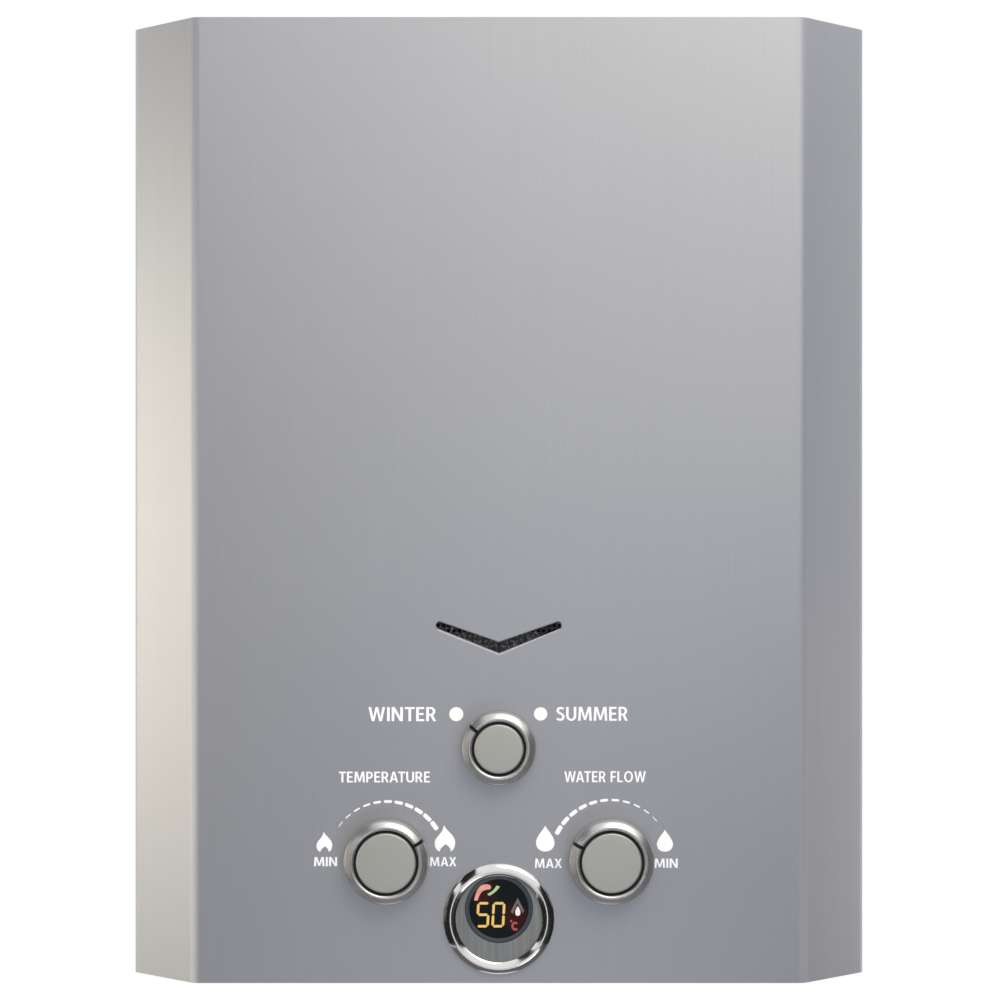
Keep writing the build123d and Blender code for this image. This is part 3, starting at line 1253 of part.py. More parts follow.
with BuildPart() as hot_pipe:
    with BuildSketch(Plane.XY.offset(HOT_TOP)):
        with Locations(HOT_PLACE):
            Circle(TUBE_RADIUS)
            Circle(TUBE_RADIUS - TUBE_WALL, mode=Mode.SUBTRACT)
    extrude(amount=LEG_END - HOT_TOP)
save(hot_pipe, "hot_pipe")

# Gas pipes: gas valve up to the season valve, and season valve forward and up to the manifold
GAS_PIPE_RADIUS = 5.0
RISER_BEND = 14.0
FEED_BEND = 9.0
FEED_X = 34.0

with BuildPart() as gas_pipes:
    run_pipe(
        (
            (GAS_X, VALVE_Y, VALVE_TOP),
            (GAS_X, VALVE_Y, SEASON_Z),
            (-SEASON_BLOCK_WIDTH / 2, VALVE_Y, SEASON_Z),
        ),
        RISER_BEND,
        GAS_PIPE_RADIUS,
    )
    run_pipe(
        (
            (SEASON_BLOCK_WIDTH / 2, VALVE_Y, SEASON_Z),
            (FEED_X, VALVE_Y, SEASON_Z),
            (FEED_X, MANIFOLD_Y, SEASON_Z),
            (FEED_X, MANIFOLD_Y, MANIFOLD_BOTTOM),
        ),
        FEED_BEND,
        GAS_PIPE_RADIUS,
    )
save(gas_pipes, "gas_pipes")

# Pipe nuts: lock nuts under the bracket, and union nuts where the pipes join
NUT_FLATS = 26.0
NUT_HEIGHT = 6.0
UNION_FLATS = 16.0
UNION_HEIGHT = 8.0
UNIONS = (
    (WATER_X, VALVE_Y, VALVE_TOP),
    (GAS_X, VALVE_Y, VALVE_TOP),
    (HOT_X, HOT_Y, HOT_TOP),
    (COIL_X, VALVE_Y, COLD_JOINT - UNION_HEIGHT / 2),
    (-RETURN_X, ROW_YS[0], LEG_END - UNION_HEIGHT / 2),
    (HOT_X, HOT_Y, LEG_END - UNION_HEIGHT / 2),
)

with BuildPart() as pipe_nuts:
    with BuildSketch(Plane.XY.offset(BRACKET_UNDER)):
        with Locations(*CONNECTIONS):
            RegularPolygon(NUT_FLATS / 2, 6, major_radius=False)
            Circle(THREAD_RADIUS + RUNNING_GAP, mode=Mode.SUBTRACT)
    extrude(amount=-NUT_HEIGHT)
    for nut_x, nut_y, nut_z in UNIONS:
        with BuildSketch(Plane.XY.offset(nut_z)):
            with Locations((nut_x, nut_y)):
                RegularPolygon(UNION_FLATS / 2, 6, major_radius=False)
                Circle(TUBE_RADIUS + RUNNING_GAP, mode=Mode.SUBTRACT)
        extrude(amount=UNION_HEIGHT)
save(pipe_nuts, "pipe_nuts")

# Draft hood: steel hood on the exchanger that narrows to a mouth under the casing's top slots
HOOD_TOP = 208.0
HOOD_MOUTH_WIDTH = 176.0
HOOD_MOUTH_SPAN = 64.0
HOOD_SHEET = 0.8

with BuildPart() as draft_hood:
    for inset, mode in ((0, Mode.ADD), (HOOD_SHEET, Mode.SUBTRACT)):
        with BuildSketch(Plane.XY.offset(FIN_TOP)) as hood_base:
            with Locations((0, CHAMBER_Y)):
                Rectangle(CHAMBER_WIDTH - 2 * inset, CHAMBER_SPAN - 2 * inset)
        with BuildSketch(Plane.XY.offset(HOOD_TOP)) as hood_mouth:
            with Locations((0, CHAMBER_Y)):
                Rectangle(HOOD_MOUTH_WIDTH - 2 * inset, HOOD_MOUTH_SPAN - 2 * inset)
        loft(mode=mode)
save(draft_hood, "draft_hood")

# Chamber spacers: four short steel tubes that hold burner and chamber off the back plate
SPACER_WIDTH = 16.0
SPACER_HEIGHT = 12.0
SPACER_SHEET = 1.2
SPACER_SPREAD = 120.0
SPACER_LEVEL_SHARE = 0.844
SPACER_LEVELS = (
    CHAMBER_BOTTOM + SPACER_LEVEL_SHARE * CHAMBER_HEIGHT,
    BURNER_BOTTOM + BURNER_HEIGHT / 2,
)

with BuildPart() as chamber_spacers:
    for level in SPACER_LEVELS:
        with BuildSketch(facing(BACK_Y)):
            with Locations((0, level)):
                with GridLocations(SPACER_SPREAD, 0, 2, 1):
                    Rectangle(SPACER_WIDTH, SPACER_HEIGHT)
                    Rectangle(
                        SPACER_WIDTH - 2 * SPACER_SHEET,
                        SPACER_HEIGHT - 2 * SPACER_SHEET,
                        mode=Mode.SUBTRACT,
                    )
        extrude(amount=BACK_Y - BURNER_REAR)
save(chamber_spacers, "chamber_spacers")

# Igniter box: moulded box on the back plate that holds the spark circuit
IGNITER_WIDTH = 20.0
IGNITER_HEIGHT = 80.0
IGNITER_DEPTH = 38.0
IGNITER_GAP = 3.0
IGNITER_Z = -20.0
IGNITER_EDGE = 2.0
IGNITER_X = -(RETURN_X + TUBE_RADIUS + IGNITER_GAP + IGNITER_WIDTH / 2)

with BuildPart() as igniter_box:
    with BuildSketch(facing(BACK_Y)):
        with Locations((IGNITER_X, IGNITER_Z)):
            RectangleRounded(IGNITER_WIDTH, IGNITER_HEIGHT, IGNITER_EDGE)
    extrude(amount=IGNITER_DEPTH)
    fillet(igniter_box.faces().sort_by(Axis.Y)[0].edges(), radius=IGNITER_EDGE / 2)
save(igniter_box, "igniter_box")
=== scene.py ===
from math import asin, atan2, cos, degrees, hypot, pi, radians, sin

import bmesh
import bpy
from mathutils import Matrix, Vector


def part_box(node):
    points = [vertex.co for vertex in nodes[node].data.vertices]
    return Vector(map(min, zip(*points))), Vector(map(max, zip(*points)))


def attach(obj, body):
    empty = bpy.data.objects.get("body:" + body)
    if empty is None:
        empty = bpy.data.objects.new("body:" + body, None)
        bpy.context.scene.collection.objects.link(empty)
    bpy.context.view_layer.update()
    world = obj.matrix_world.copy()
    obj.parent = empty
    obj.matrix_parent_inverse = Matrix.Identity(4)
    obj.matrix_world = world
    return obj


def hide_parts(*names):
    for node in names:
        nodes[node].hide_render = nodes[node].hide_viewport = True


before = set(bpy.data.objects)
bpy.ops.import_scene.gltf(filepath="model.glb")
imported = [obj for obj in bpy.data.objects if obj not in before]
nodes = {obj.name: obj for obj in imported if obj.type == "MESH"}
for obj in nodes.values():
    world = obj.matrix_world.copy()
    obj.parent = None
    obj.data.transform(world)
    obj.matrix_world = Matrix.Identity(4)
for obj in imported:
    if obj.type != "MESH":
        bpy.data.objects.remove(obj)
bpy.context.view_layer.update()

# Front cover: one sheet of stainless steel, folded into a box with two bevelled front corners.
# It is brushed up and down, slides over the back plate and is held by screws in its sides.
MM = 0.001
PANEL_Y = -0.140


def colour(code):
    """Linear colour of an sRGB hex value."""
    parts = [int(code[i : i + 2], 16) / 255 for i in (1, 3, 5)]
    return [p / 12.92 if p <= 0.04045 else ((p + 0.055) / 1.055) ** 2.4 for p in parts] + [1.0]


def feed(node, feeds):
    """Sets inputs of a node: each pair names an input and gives its value or an output socket."""
    for where, what in feeds:
        if isinstance(what, bpy.types.NodeSocket):
            node.id_data.links.new(what, node.inputs[where])
        else:
            node.inputs[where].default_value = what


def add_node(tree, kind, feeds=(), **settings):
    """Adds one node, with its properties set and its inputs fed."""
    made = tree.nodes.new(kind)
    for name, value in settings.items():
        setattr(made, name, value)
    feed(made, feeds)
    return made


def new_material(name, feeds):
    """Material with one Principled shader, and a node for the piece's own coordinates."""
    made = bpy.data.materials.new(name)
    made.use_nodes = True
    feed(made.node_tree.nodes["Principled BSDF"], feeds)
    add_node(made.node_tree, "ShaderNodeTexCoord", name="place")
    return made


def insides(material):
    """Node tree, shader and Object coordinates of a material."""
    tree = material.node_tree
    return tree, tree.nodes["Principled BSDF"], tree.nodes["place"].outputs["Object"]


def give(material, *names):
    """Puts a material on CAD nodes."""
    for name in names:
        nodes[name].data.materials.clear()
        nodes[name].data.materials.append(material)


# Brushed stainless steel: hair lines about 0.1 mm wide and 40 mm long run up the sheet. They are
# too fine to show here, so they are drawn 0.7 mm wide: a faint upright streak in tone and gloss.
GRAIN_WIDTH = 0.7 * MM
GRAIN_LENGTH = 60 * MM
GRAIN_DEPTH = 0.02 * MM
CLOUD_SIZE = 90 * MM
CLOUD_SHARE = 0.25
PANEL_METAL = 0.7


def brushed_steel(name, pale, deep, rough, metal):
    """Stainless steel brushed along Z, between two tones."""
    made = new_material(name, [("Metallic", metal)])
    tree, shader, place = insides(made)
    hair = (1 / GRAIN_WIDTH, 1 / GRAIN_WIDTH, 1 / GRAIN_LENGTH)
    stretch = add_node(tree, "ShaderNodeMapping", [("Vector", place), ("Scale", hair)])
    grain = add_node(
        tree,
        "ShaderNodeTexNoise",
        [("Vector", stretch.outputs["Vector"]), ("Scale", 1.0), ("Detail", 3.0), ("Roughness", 0.6)],
    ).outputs["Fac"]
    cloud = add_node(
        tree, "ShaderNodeTexNoise", [("Vector", place), ("Scale", 1 / CLOUD_SIZE), ("Detail", 2.0)]
    ).outputs["Fac"]
    mixed = add_node(
        tree, "ShaderNodeMix", [("Factor", CLOUD_SHARE), ("A", grain), ("B", cloud)]
    ).outputs["Result"]
    tone = add_node(
        tree, "ShaderNodeMapRange", [("Value", mixed), ("From Min", 0.3), ("From Max", 0.7)]
    ).outputs["Result"]
    tint = add_node(
        tree, "ShaderNodeMix", [(0, tone), (6, colour(deep)), (7, colour(pale))], data_type="RGBA"
    ).outputs[2]
    gloss = add_node(
        tree,
        "ShaderNodeMapRange",
        [("Value", grain), ("To Min", rough - 0.02), ("To Max", rough + 0.03)],
    ).outputs["Result"]
    lines = add_node(
        tree, "ShaderNodeBump", [("Height", grain), ("Strength", 0.05), ("Distance", GRAIN_DEPTH)]
    ).outputs["Normal"]
    feed(shader, [("Base Color", tint), ("Roughness", gloss), ("Normal", lines)])
    return made


panel_steel = brushed_steel("brushed_stainless_panel", "#a8aab0", "#a3a5ab", 0.40, PANEL_METAL)
give(panel_steel, "front_cover")

# Folds between the panel and its bevels: the same sheet, bent over in a press. The folds are made
# less metallic than the flats beside them, which lightens them: a painted lightening, so that the
# reflection of the dark flags doesn't show in them as a dark line.
FOLD_X = 138.8 * MM
FOLD_CORE = 1.4 * MM
FOLD_HALF = 2.6 * MM
FOLD_FRONT = PANEL_Y + 2.5 * MM
FOLD_REAR = PANEL_Y + 5.0 * MM
FOLD_LIGHTENING_METAL = 0.42

tree, shader, place = insides(panel_steel)
axes = add_node(tree, "ShaderNodeSeparateXYZ", [("Vector", place)]).outputs
side = add_node(tree, "ShaderNodeMath", [(0, axes["X"])], operation="ABSOLUTE").outputs[0]
across = add_node(tree, "ShaderNodeMath", [(0, side), (1, FOLD_X)], operation="SUBTRACT").outputs[0]
off = add_node(tree, "ShaderNodeMath", [(0, across)], operation="ABSOLUTE").outputs[0]
near = add_node(
    tree, "ShaderNodeMapRange", [("Value", off), ("From Min", FOLD_HALF), ("From Max", FOLD_CORE)]
).outputs["Result"]
front = add_node(
    tree,
    "ShaderNodeMapRange",
    [("Value", axes["Y"]), ("From Min", FOLD_REAR), ("From Max", FOLD_FRONT)],
).outputs["Result"]
# Painted lightening of the folds: this mask is 1 over them, and there the metallic drops so that the
# folds turn lighter.
fold_lightening = add_node(tree, "ShaderNodeMath", [(0, near), (1, front)], operation="MULTIPLY").outputs[0]
sheen = add_node(
    tree, "ShaderNodeMapRange", [("Value", fold_lightening), ("To Min", PANEL_METAL), ("To Max", FOLD_LIGHTENING_METAL)]
).outputs["Result"]
feed(shader, [("Metallic", sheen)])

# Lip of the V window: the punch turned the lower edges of the window out a little, and they catch
# the light as a thin bright line. The lip is partly a painted highlight: its bare steel is paler than
# the panel, it runs only along the lower edges, and it is full width at the left and at the point but
# narrower at the right, where the line is fainter.
SMOOTH_ANGLE = radians(32)
LIP_PATH = ((27.6 * MM, -58.59 * MM), (0.0, -69.7 * MM), (-27.6 * MM, -58.59 * MM))
LIP_HIGHLIGHT_SHARES = (0.55, 1.0, 1.0)
LIP_SECTION = (
    (0.0, 0.42 * MM), (0.42 * MM, -0.03 * MM), (0.95 * MM, -0.03 * MM), (0.9 * MM, 0.1 * MM)
)
DRAG_SIZE = 1.5 * MM


def mottled(name, feeds, size, detail, deep, pale, gloss=None):
    """Finish that wanders between two tones in clouds of that size, and in roughness too if gloss
    gives it for the deep and the pale tone. Two of its nodes are named clouds and tint."""
    made = new_material(name, feeds)
    tree, shader, place = insides(made)
    clouds = add_node(
        tree,
        "ShaderNodeTexNoise",
        [("Vector", place), ("Scale", 1 / size), ("Detail", detail)],
        name="clouds",
    ).outputs["Fac"]
    tint = add_node(
        tree,
        "ShaderNodeMix",
        [(0, clouds), (6, colour(deep)), (7, colour(pale))],
        data_type="RGBA",
        name="tint",
    ).outputs[2]
    feed(shader, [("Base Color", tint)])
    if gloss:
        at_deep, at_pale = gloss
        sheen = add_node(
            tree, "ShaderNodeMapRange", [("Value", clouds), ("To Min", at_deep), ("To Max", at_pale)]
        ).outputs["Result"]
        feed(shader, [("Roughness", sheen)])
    return made


def finished_piece(name, made, material):
    """Turns a finished bmesh into an object at the origin, smooth except over sharp edges."""
    mesh = bpy.data.meshes.new(name)
    made.to_mesh(mesh)
    made.free()
    mesh.polygons.foreach_set("use_smooth", [True] * len(mesh.polygons))
    mesh.set_sharp_from_angle(angle=SMOOTH_ANGLE)
    mesh.materials.append(material)
    piece = bpy.data.objects.new(name, mesh)
    bpy.context.scene.collection.objects.link(piece)
    return piece


# Pale steel of the lip: its tone is partly a painted highlight.
lip_painted_highlight = mottled(
    "lip_steel_painted_highlight", [("Metallic", 0.9)], DRAG_SIZE, 2.0, "#c9cacd", "#e3e4e7", (0.25, 0.38)
)
lean = atan2(LIP_PATH[0][1] - LIP_PATH[1][1], LIP_PATH[0][0])
outward = ((sin(lean), -cos(lean)), (0.0, -1 / cos(lean)), (-sin(lean), -cos(lean)))
made = bmesh.new()
rows = []
for (x, z), (right, up), share in zip(LIP_PATH, outward, LIP_HIGHLIGHT_SHARES):
    row = []
    for off, depth in LIP_SECTION:
        out = off * share
        row.append(made.verts.new((x + right * out, PANEL_Y + depth, z + up * out)))
    rows.append(row)
for here, there in zip(rows, rows[1:]):
    for i in range(len(LIP_SECTION)):
        made.faces.new((here[i - 1], here[i], there[i], there[i - 1]))
made.faces.new(rows[0])
made.faces.new(list(reversed(rows[-1])))
bmesh.ops.recalc_face_normals(made, faces=made.faces)
lip = finished_piece("window_lip", made, lip_painted_highlight)
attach(lip, "housing")

# Back plate, bracket, spacers, hood and burner frame: hot-dip galvanised steel sheet, cut, folded
# and left bare. The zinc froze in flat crystals, which show as patches of slightly different grey.
SPANGLE_SIZE = 9 * MM
HAZE_SIZE = 30 * MM
HAZE_SHARE = 0.45

galvanised = new_material("galvanised_steel_sheet", [("Metallic", 0.75)])
tree, shader, place = insides(galvanised)
spangle = add_node(tree, "ShaderNodeTexVoronoi", [("Vector", place), ("Scale", 1 / SPANGLE_SIZE)])
patch = add_node(
    tree, "ShaderNodeSeparateColor", [("Color", spangle.outputs["Color"])]
).outputs["Red"]
haze = add_node(
    tree, "ShaderNodeTexNoise", [("Vector", place), ("Scale", 1 / HAZE_SIZE), ("Detail", 5.0)]
).outputs["Fac"]
blend = add_node(
    tree, "ShaderNodeMix", [("Factor", HAZE_SHARE), ("A", patch), ("B", haze)]
).outputs["Result"]
zinc = add_node(
    tree,
    "ShaderNodeMix",
    [(0, blend), (6, colour("#9a9fa3")), (7, colour("#c3c7c9"))],
    data_type="RGBA",
).outputs[2]
dull = add_node(
    tree, "ShaderNodeMapRange", [("Value", patch), ("To Min", 0.38), ("To Max", 0.58)]
).outputs["Result"]
feed(shader, [("Base Color", zinc), ("Roughness", dull)])
give(galvanised, "back_plate", "pipe_bracket", "chamber_spacers", "draft_hood", "burner_frame")

# Flame guard behind the V window: thin steel punched with small round holes and painted with
# black heat-proof lacquer, worn to bare specks between the holes.
WEAR_SIZE = 1.1 * MM

guard_lacquer = new_material(
    "heatproof_black_lacquer", [("Roughness", 0.6), ("Specular IOR Level", 0.2)]
)
tree, shader, place = insides(guard_lacquer)
specks = add_node(
    tree, "ShaderNodeTexNoise", [("Vector", place), ("Scale", 1 / WEAR_SIZE), ("Detail", 2.0)]
).outputs["Fac"]
worn = add_node(
    tree, "ShaderNodeMapRange", [("Value", specks), ("From Min", 0.57), ("From Max", 0.72)]
).outputs["Result"]
soot = add_node(
    tree,
    "ShaderNodeMix",
    [(0, worn), (6, colour("#12161d")), (7, colour("#5a5e66"))],
    data_type="RGBA",
).outputs[2]
feed(shader, [("Base Color", soot)])
give(guard_lacquer, "flame_guard")

# Copper work: chamber jacket, coil, finned exchanger and pipes, drawn or folded from copper and
# brazed. Heat has browned it in soft clouds, and the flames have sooted it behind the window.
BROWN_SIZE = 40 * MM
SOOT_SPOT = (0.0, -0.112, -0.062)
SOOT_CORE = 30 * MM
SOOT_EDGE = 70 * MM
SOOT_SHARE = 0.94

copper = mottled(
    "drawn_copper", [("Metallic", 1.0)], BROWN_SIZE, 6.0, "#8a4a31", "#d08a64", (0.48, 0.26)
)
tree, shader, place = insides(copper)
away = add_node(tree, "ShaderNodeVectorMath", [(0, place), (1, SOOT_SPOT)], operation="DISTANCE")
reach = [("Value", away.outputs["Value"]), ("From Min", SOOT_CORE), ("From Max", SOOT_EDGE)]
stain = add_node(
    tree, "ShaderNodeMapRange", reach + [("To Min", SOOT_SHARE), ("To Max", 0.0)]
).outputs["Result"]
sooted = add_node(
    tree,
    "ShaderNodeMix",
    [(0, stain), (6, tree.nodes["tint"].outputs[2]), (7, colour("#1c1a19"))],
    data_type="RGBA",
).outputs[2]
feed(shader, [("Base Color", sooted)])
give(
    copper,
    "heat_chamber", "jacket_coil", "exchanger_fins", "exchanger_tube",
    "cold_pipe", "hot_pipe", "gas_pipes",
)

# Brass work: valve bodies, spindles, fittings and nuts, hot-pressed and then turned. The skin is
# satin with a few dull, oxidised clouds. Its turning lines are too fine to show here, so they are
# drawn as faint ridges about 3 mm apart.
OXIDE_SIZE = 12 * MM
TURNING_PITCH = pi * MM
TURNING_DEPTH = 0.05 * MM
WAVE_RADIANS = 20

brass = mottled(
    "turned_brass", [("Metallic", 1.0)], OXIDE_SIZE, 5.0, "#8f7436", "#d9bd76", (0.42, 0.24)
)
tree, shader, place = insides(brass)
ridge_scale = 2 * pi / (WAVE_RADIANS * TURNING_PITCH)
turned = add_node(
    tree,
    "ShaderNodeTexWave",
    [("Vector", place), ("Scale", ridge_scale), ("Distortion", 1.5), ("Detail", 2.0)],
    bands_direction="Z",
).outputs["Fac"]
ridges = add_node(
    tree, "ShaderNodeBump", [("Height", turned), ("Strength", 0.08), ("Distance", TURNING_DEPTH)]
).outputs["Normal"]
feed(shader, [("Normal", ridges)])
give(
    brass,
    "season_spindle", "temperature_spindle", "water_flow_spindle", "gland_nuts",
    "water_valve_body", "diaphragm_cover", "cold_inlet", "gas_inlet", "hot_outlet",
    "pipe_nuts", "drain_plug", "gas_manifold",
)

# Gas valve, season valve and solenoid case: aluminium alloy, die cast and left as cast. The skin
# is grainy and rather dull, with pale clouds where the metal flowed.
FLOW_SIZE = 16 * MM
PIT_SIZE = 0.9 * MM
PIT_DEPTH = 0.1 * MM

casting = mottled(
    "die_cast_aluminium", [("Metallic", 0.9)], FLOW_SIZE, 3.0, "#8d9094", "#b9bcbf"
)
tree, shader, place = insides(casting)
pits = add_node(
    tree, "ShaderNodeTexNoise", [("Vector", place), ("Scale", 1 / PIT_SIZE), ("Detail", 4.0)]
).outputs["Fac"]
grit = add_node(
    tree, "ShaderNodeBump", [("Height", pits), ("Strength", 0.3), ("Distance", PIT_DEPTH)]
).outputs["Normal"]
coarse = add_node(
    tree, "ShaderNodeMapRange", [("Value", pits), ("To Min", 0.42), ("To Max", 0.6)]
).outputs["Result"]
feed(shader, [("Roughness", coarse), ("Normal", grit)])
give(casting, "gas_valve_body", "season_valve_body", "solenoid_case")

# Bright steel: screws, rod, spring, lever, plunger, burner bars and cutout, zinc plated or drawn,
# with a cool tone and small scratches.
SCRATCH_LENGTH = 4 * MM
SCRATCH_WIDTH = 0.3 * MM
SCRATCH_TURN = (0.3, 0.7, 0.2)

plated = new_material("zinc_plated_steel", [("Metallic", 1.0)])
tree, shader, place = insides(plated)
hair = (1 / SCRATCH_LENGTH, 1 / SCRATCH_WIDTH, 1 / SCRATCH_WIDTH)
scratch = add_node(
    tree, "ShaderNodeMapping", [("Vector", place), ("Rotation", SCRATCH_TURN), ("Scale", hair)]
).outputs["Vector"]
hairs = add_node(
    tree, "ShaderNodeTexNoise", [("Vector", scratch), ("Scale", 1.0), ("Detail", 2.0)]
).outputs["Fac"]
cool = add_node(
    tree,
    "ShaderNodeMix",
    [(0, hairs), (6, colour("#8e9296")), (7, colour("#c2c6ca"))],
    data_type="RGBA",
).outputs[2]
buffed = add_node(
    tree, "ShaderNodeMapRange", [("Value", hairs), ("To Min", 0.24), ("To Max", 0.4)]
).outputs["Result"]
feed(shader, [("Base Color", cool), ("Roughness", buffed)])
give(
    plated,
    "cover_screws", "housing_screws", "push_rod", "gas_spring",
    "switch_lever", "solenoid_plunger", "burner_bars", "thermal_cutout",
)

# Moulded pieces: battery box and lid, igniter box, water switch and display cup, in black ABS
# with the fine spark-eroded texture of their moulds, a little paler where hands rub the edges.
RUB_SIZE = 25 * MM
SPARK_SIZE = 0.6 * MM
SPARK_DEPTH = 0.05 * MM

abs_black = mottled(
    "moulded_black_abs", [("Specular IOR Level", 0.25)], RUB_SIZE, 4.0, "#0b0c0d", "#191a1c"
)
tree, shader, place = insides(abs_black)
spark = add_node(
    tree, "ShaderNodeTexNoise", [("Vector", place), ("Scale", 1 / SPARK_SIZE), ("Detail", 3.0)]
).outputs["Fac"]
matt = add_node(
    tree, "ShaderNodeMapRange", [("Value", spark), ("To Min", 0.4), ("To Max", 0.62)]
).outputs["Result"]
texture = add_node(
    tree, "ShaderNodeBump", [("Height", spark), ("Strength", 0.25), ("Distance", SPARK_DEPTH)]
).outputs["Normal"]
feed(shader, [("Roughness", matt), ("Normal", texture)])
give(abs_black, "battery_box", "battery_lid", "igniter_box", "water_switch", "display_cup")

# Diaphragm and gas disc: nitrile rubber, moulded under heat. The first is clamped in the water
# valve and the second shuts the gas valve. Both are dull black with a dusting of talc.
TALC_SIZE = 3 * MM

nitrile_feel = [("Roughness", 0.75), ("IOR", 1.52)]
nitrile = mottled("moulded_nitrile_rubber", nitrile_feel, TALC_SIZE, 6.0, "#161616", "#3c3b3a")
give(nitrile, "diaphragm", "gas_disc")

# Electrodes: sleeves of steatite, pressed, glazed and fired, which stand in the chamber's front.
# They are cream white and shiny, with faint firing specks.
FIRING_SPECK = 1.5 * MM

glaze = [("Roughness", 0.22), ("IOR", 1.55)]
steatite = mottled("glazed_steatite", glaze, FIRING_SPECK, 3.0, "#d9d2c2", "#f0ece2")
give(steatite, "electrodes")

# Batteries: two large cells, each in a plain shrink sleeve, standing in their box. The film is
# dark and a little creased, with a copper-toned band at the top.
CELL_BAND_Z = -0.166
CREASE_SIZE = 5 * MM

sleeve = new_material("shrink_sleeve_film", [("IOR", 1.5)])
tree, shader, place = insides(sleeve)
height = add_node(tree, "ShaderNodeSeparateXYZ", [("Vector", place)]).outputs["Z"]
band = add_node(
    tree, "ShaderNodeMath", [(0, height), (1, CELL_BAND_Z)], operation="GREATER_THAN"
).outputs[0]
wrap = add_node(
    tree,
    "ShaderNodeMix",
    [(0, band), (6, colour("#1d2227")), (7, colour("#b47a4a"))],
    data_type="RGBA",
).outputs[2]
film = add_node(
    tree, "ShaderNodeTexNoise", [("Vector", place), ("Scale", 1 / CREASE_SIZE), ("Detail", 3.0)]
).outputs["Fac"]
creased = add_node(
    tree, "ShaderNodeMapRange", [("Value", film), ("To Min", 0.22), ("To Max", 0.42)]
).outputs["Result"]
feed(shader, [("Base Color", wrap), ("Roughness", creased)])
give(sleeve, "batteries")

# Knob rings: zinc die castings, turned, satin nickel plated and pressed on the black cores. A slot
# is milled through each ring, so that the core shows as the pointer line.
KNOB_GAP = 0.6 * MM
KNOB_HEIGHT = 13.0 * MM
RING_WIDTH = 4.45 * MM
RING_TOP = 12.8 * MM
RING_DROP = 1.9 * MM
RING_ROUND = 2.0 * MM
RING_LIP = 1.1 * MM
LIP_DROP = 0.8 * MM
RING_EDGE = 0.35 * MM
RING_STEPS = 12
SLOT_WIDTH = 1.6 * MM
DIAL_RADIUS = 19.2 * MM
SEASON_RADIUS = 16.8 * MM
KNOBS = {
    "season": (0.0, -112.5 * MM, SEASON_RADIUS, 142.0),
    "temperature": (-51.0 * MM, -164.0 * MM, DIAL_RADIUS, 31.0),
    "water_flow": (51.0 * MM, -164.0 * MM, DIAL_RADIUS, 153.0),
}
TURN_STEPS = 144
WELD_GAP = 1e-7


def turned_piece(name, profile, centre, material, slot_at=0.0, slot=0.0, closed=True):
    """Piece turned about an axis square to the panel: profile holds (radius, height over panel).
    A slot of that width can be left open at an angle, with flat sides."""
    made = bmesh.new()
    lines = made.loops.layers.uv.new("turning")
    rows = []
    runs = [0.0]
    for before, after in zip(profile, profile[1:]):
        runs.append(runs[-1] + hypot(after[0] - before[0], after[1] - before[1]))
    for step in range(TURN_STEPS + (1 if slot else 0)):
        row = []
        for radius, rise in profile:
            half = asin(slot / 2 / radius) if slot else 0.0
            angle = radians(slot_at) + half + (2 * pi - 2 * half) * step / TURN_STEPS
            x, z = centre[0] + radius * cos(angle), centre[1] + radius * sin(angle)
            row.append(made.verts.new((x, PANEL_Y - rise, z)))
        rows.append(row)
    count = len(profile)
    for step in range(TURN_STEPS):
        here, there = rows[step], rows[(step + 1) % len(rows)]
        for point in range(count if closed else count - 1):
            after = (point + 1) % count
            face = made.faces.new((here[point], here[after], there[after], there[point]))
            for loop in face.loops:
                at = point if loop.vert in (here[point], there[point]) else after
                turn = step if loop.vert in (here[point], here[after]) else step + 1
                loop[lines].uv = (turn / TURN_STEPS, runs[at] / MM)
    if slot:
        made.faces.new(rows[0])
        made.faces.new(list(reversed(rows[-1])))
    if not closed:
        made.faces.new([row[0] for row in rows])
        made.faces.new([row[-1] for row in reversed(rows)])
    bmesh.ops.remove_doubles(made, verts=made.verts, dist=WELD_GAP)
    bmesh.ops.recalc_face_normals(made, faces=made.faces)
    return finished_piece(name, made, material)


def oval(mid, across, up, start, end, count=14):
    """Points on an oval arc about mid, from one angle to another in degrees."""
    sweep = [radians(start + (end - start) * step / count) for step in range(count + 1)]
    return [(mid[0] + across * cos(a), mid[1] + up * sin(a)) for a in sweep]


# Satin nickel: warm pale grey. Its turning lines run round the ring; real ones are 0.05 mm apart,
# so they are drawn 0.35 mm apart to show as a faint silky streak. The turning map counts rounds
# in one direction and millimetres in the other.
LINE_WIDTH = 0.35
STREAKS_PER_ROUND = 3.0

satin_nickel = new_material("satin_nickel_plate", [("Metallic", 0.85)])
tree, shader, place = insides(satin_nickel)
around = add_node(tree, "ShaderNodeUVMap", uv_map="turning").outputs["UV"]
streak = (STREAKS_PER_ROUND, 1 / LINE_WIDTH, 1.0)
lathe = add_node(tree, "ShaderNodeMapping", [("Vector", around), ("Scale", streak)])
lay = add_node(
    tree, "ShaderNodeTexNoise", [("Vector", lathe.outputs["Vector"]), ("Scale", 1.0), ("Detail", 3.0)]
).outputs["Fac"]
nickel = add_node(
    tree,
    "ShaderNodeMix",
    [(0, lay), (6, colour("#b1b1b2")), (7, colour("#cdcdce"))],
    data_type="RGBA",
).outputs[2]
silky = add_node(
    tree, "ShaderNodeMapRange", [("Value", lay), ("To Min", 0.22), ("To Max", 0.34)]
).outputs["Result"]
feed(shader, [("Base Color", nickel), ("Roughness", silky)])

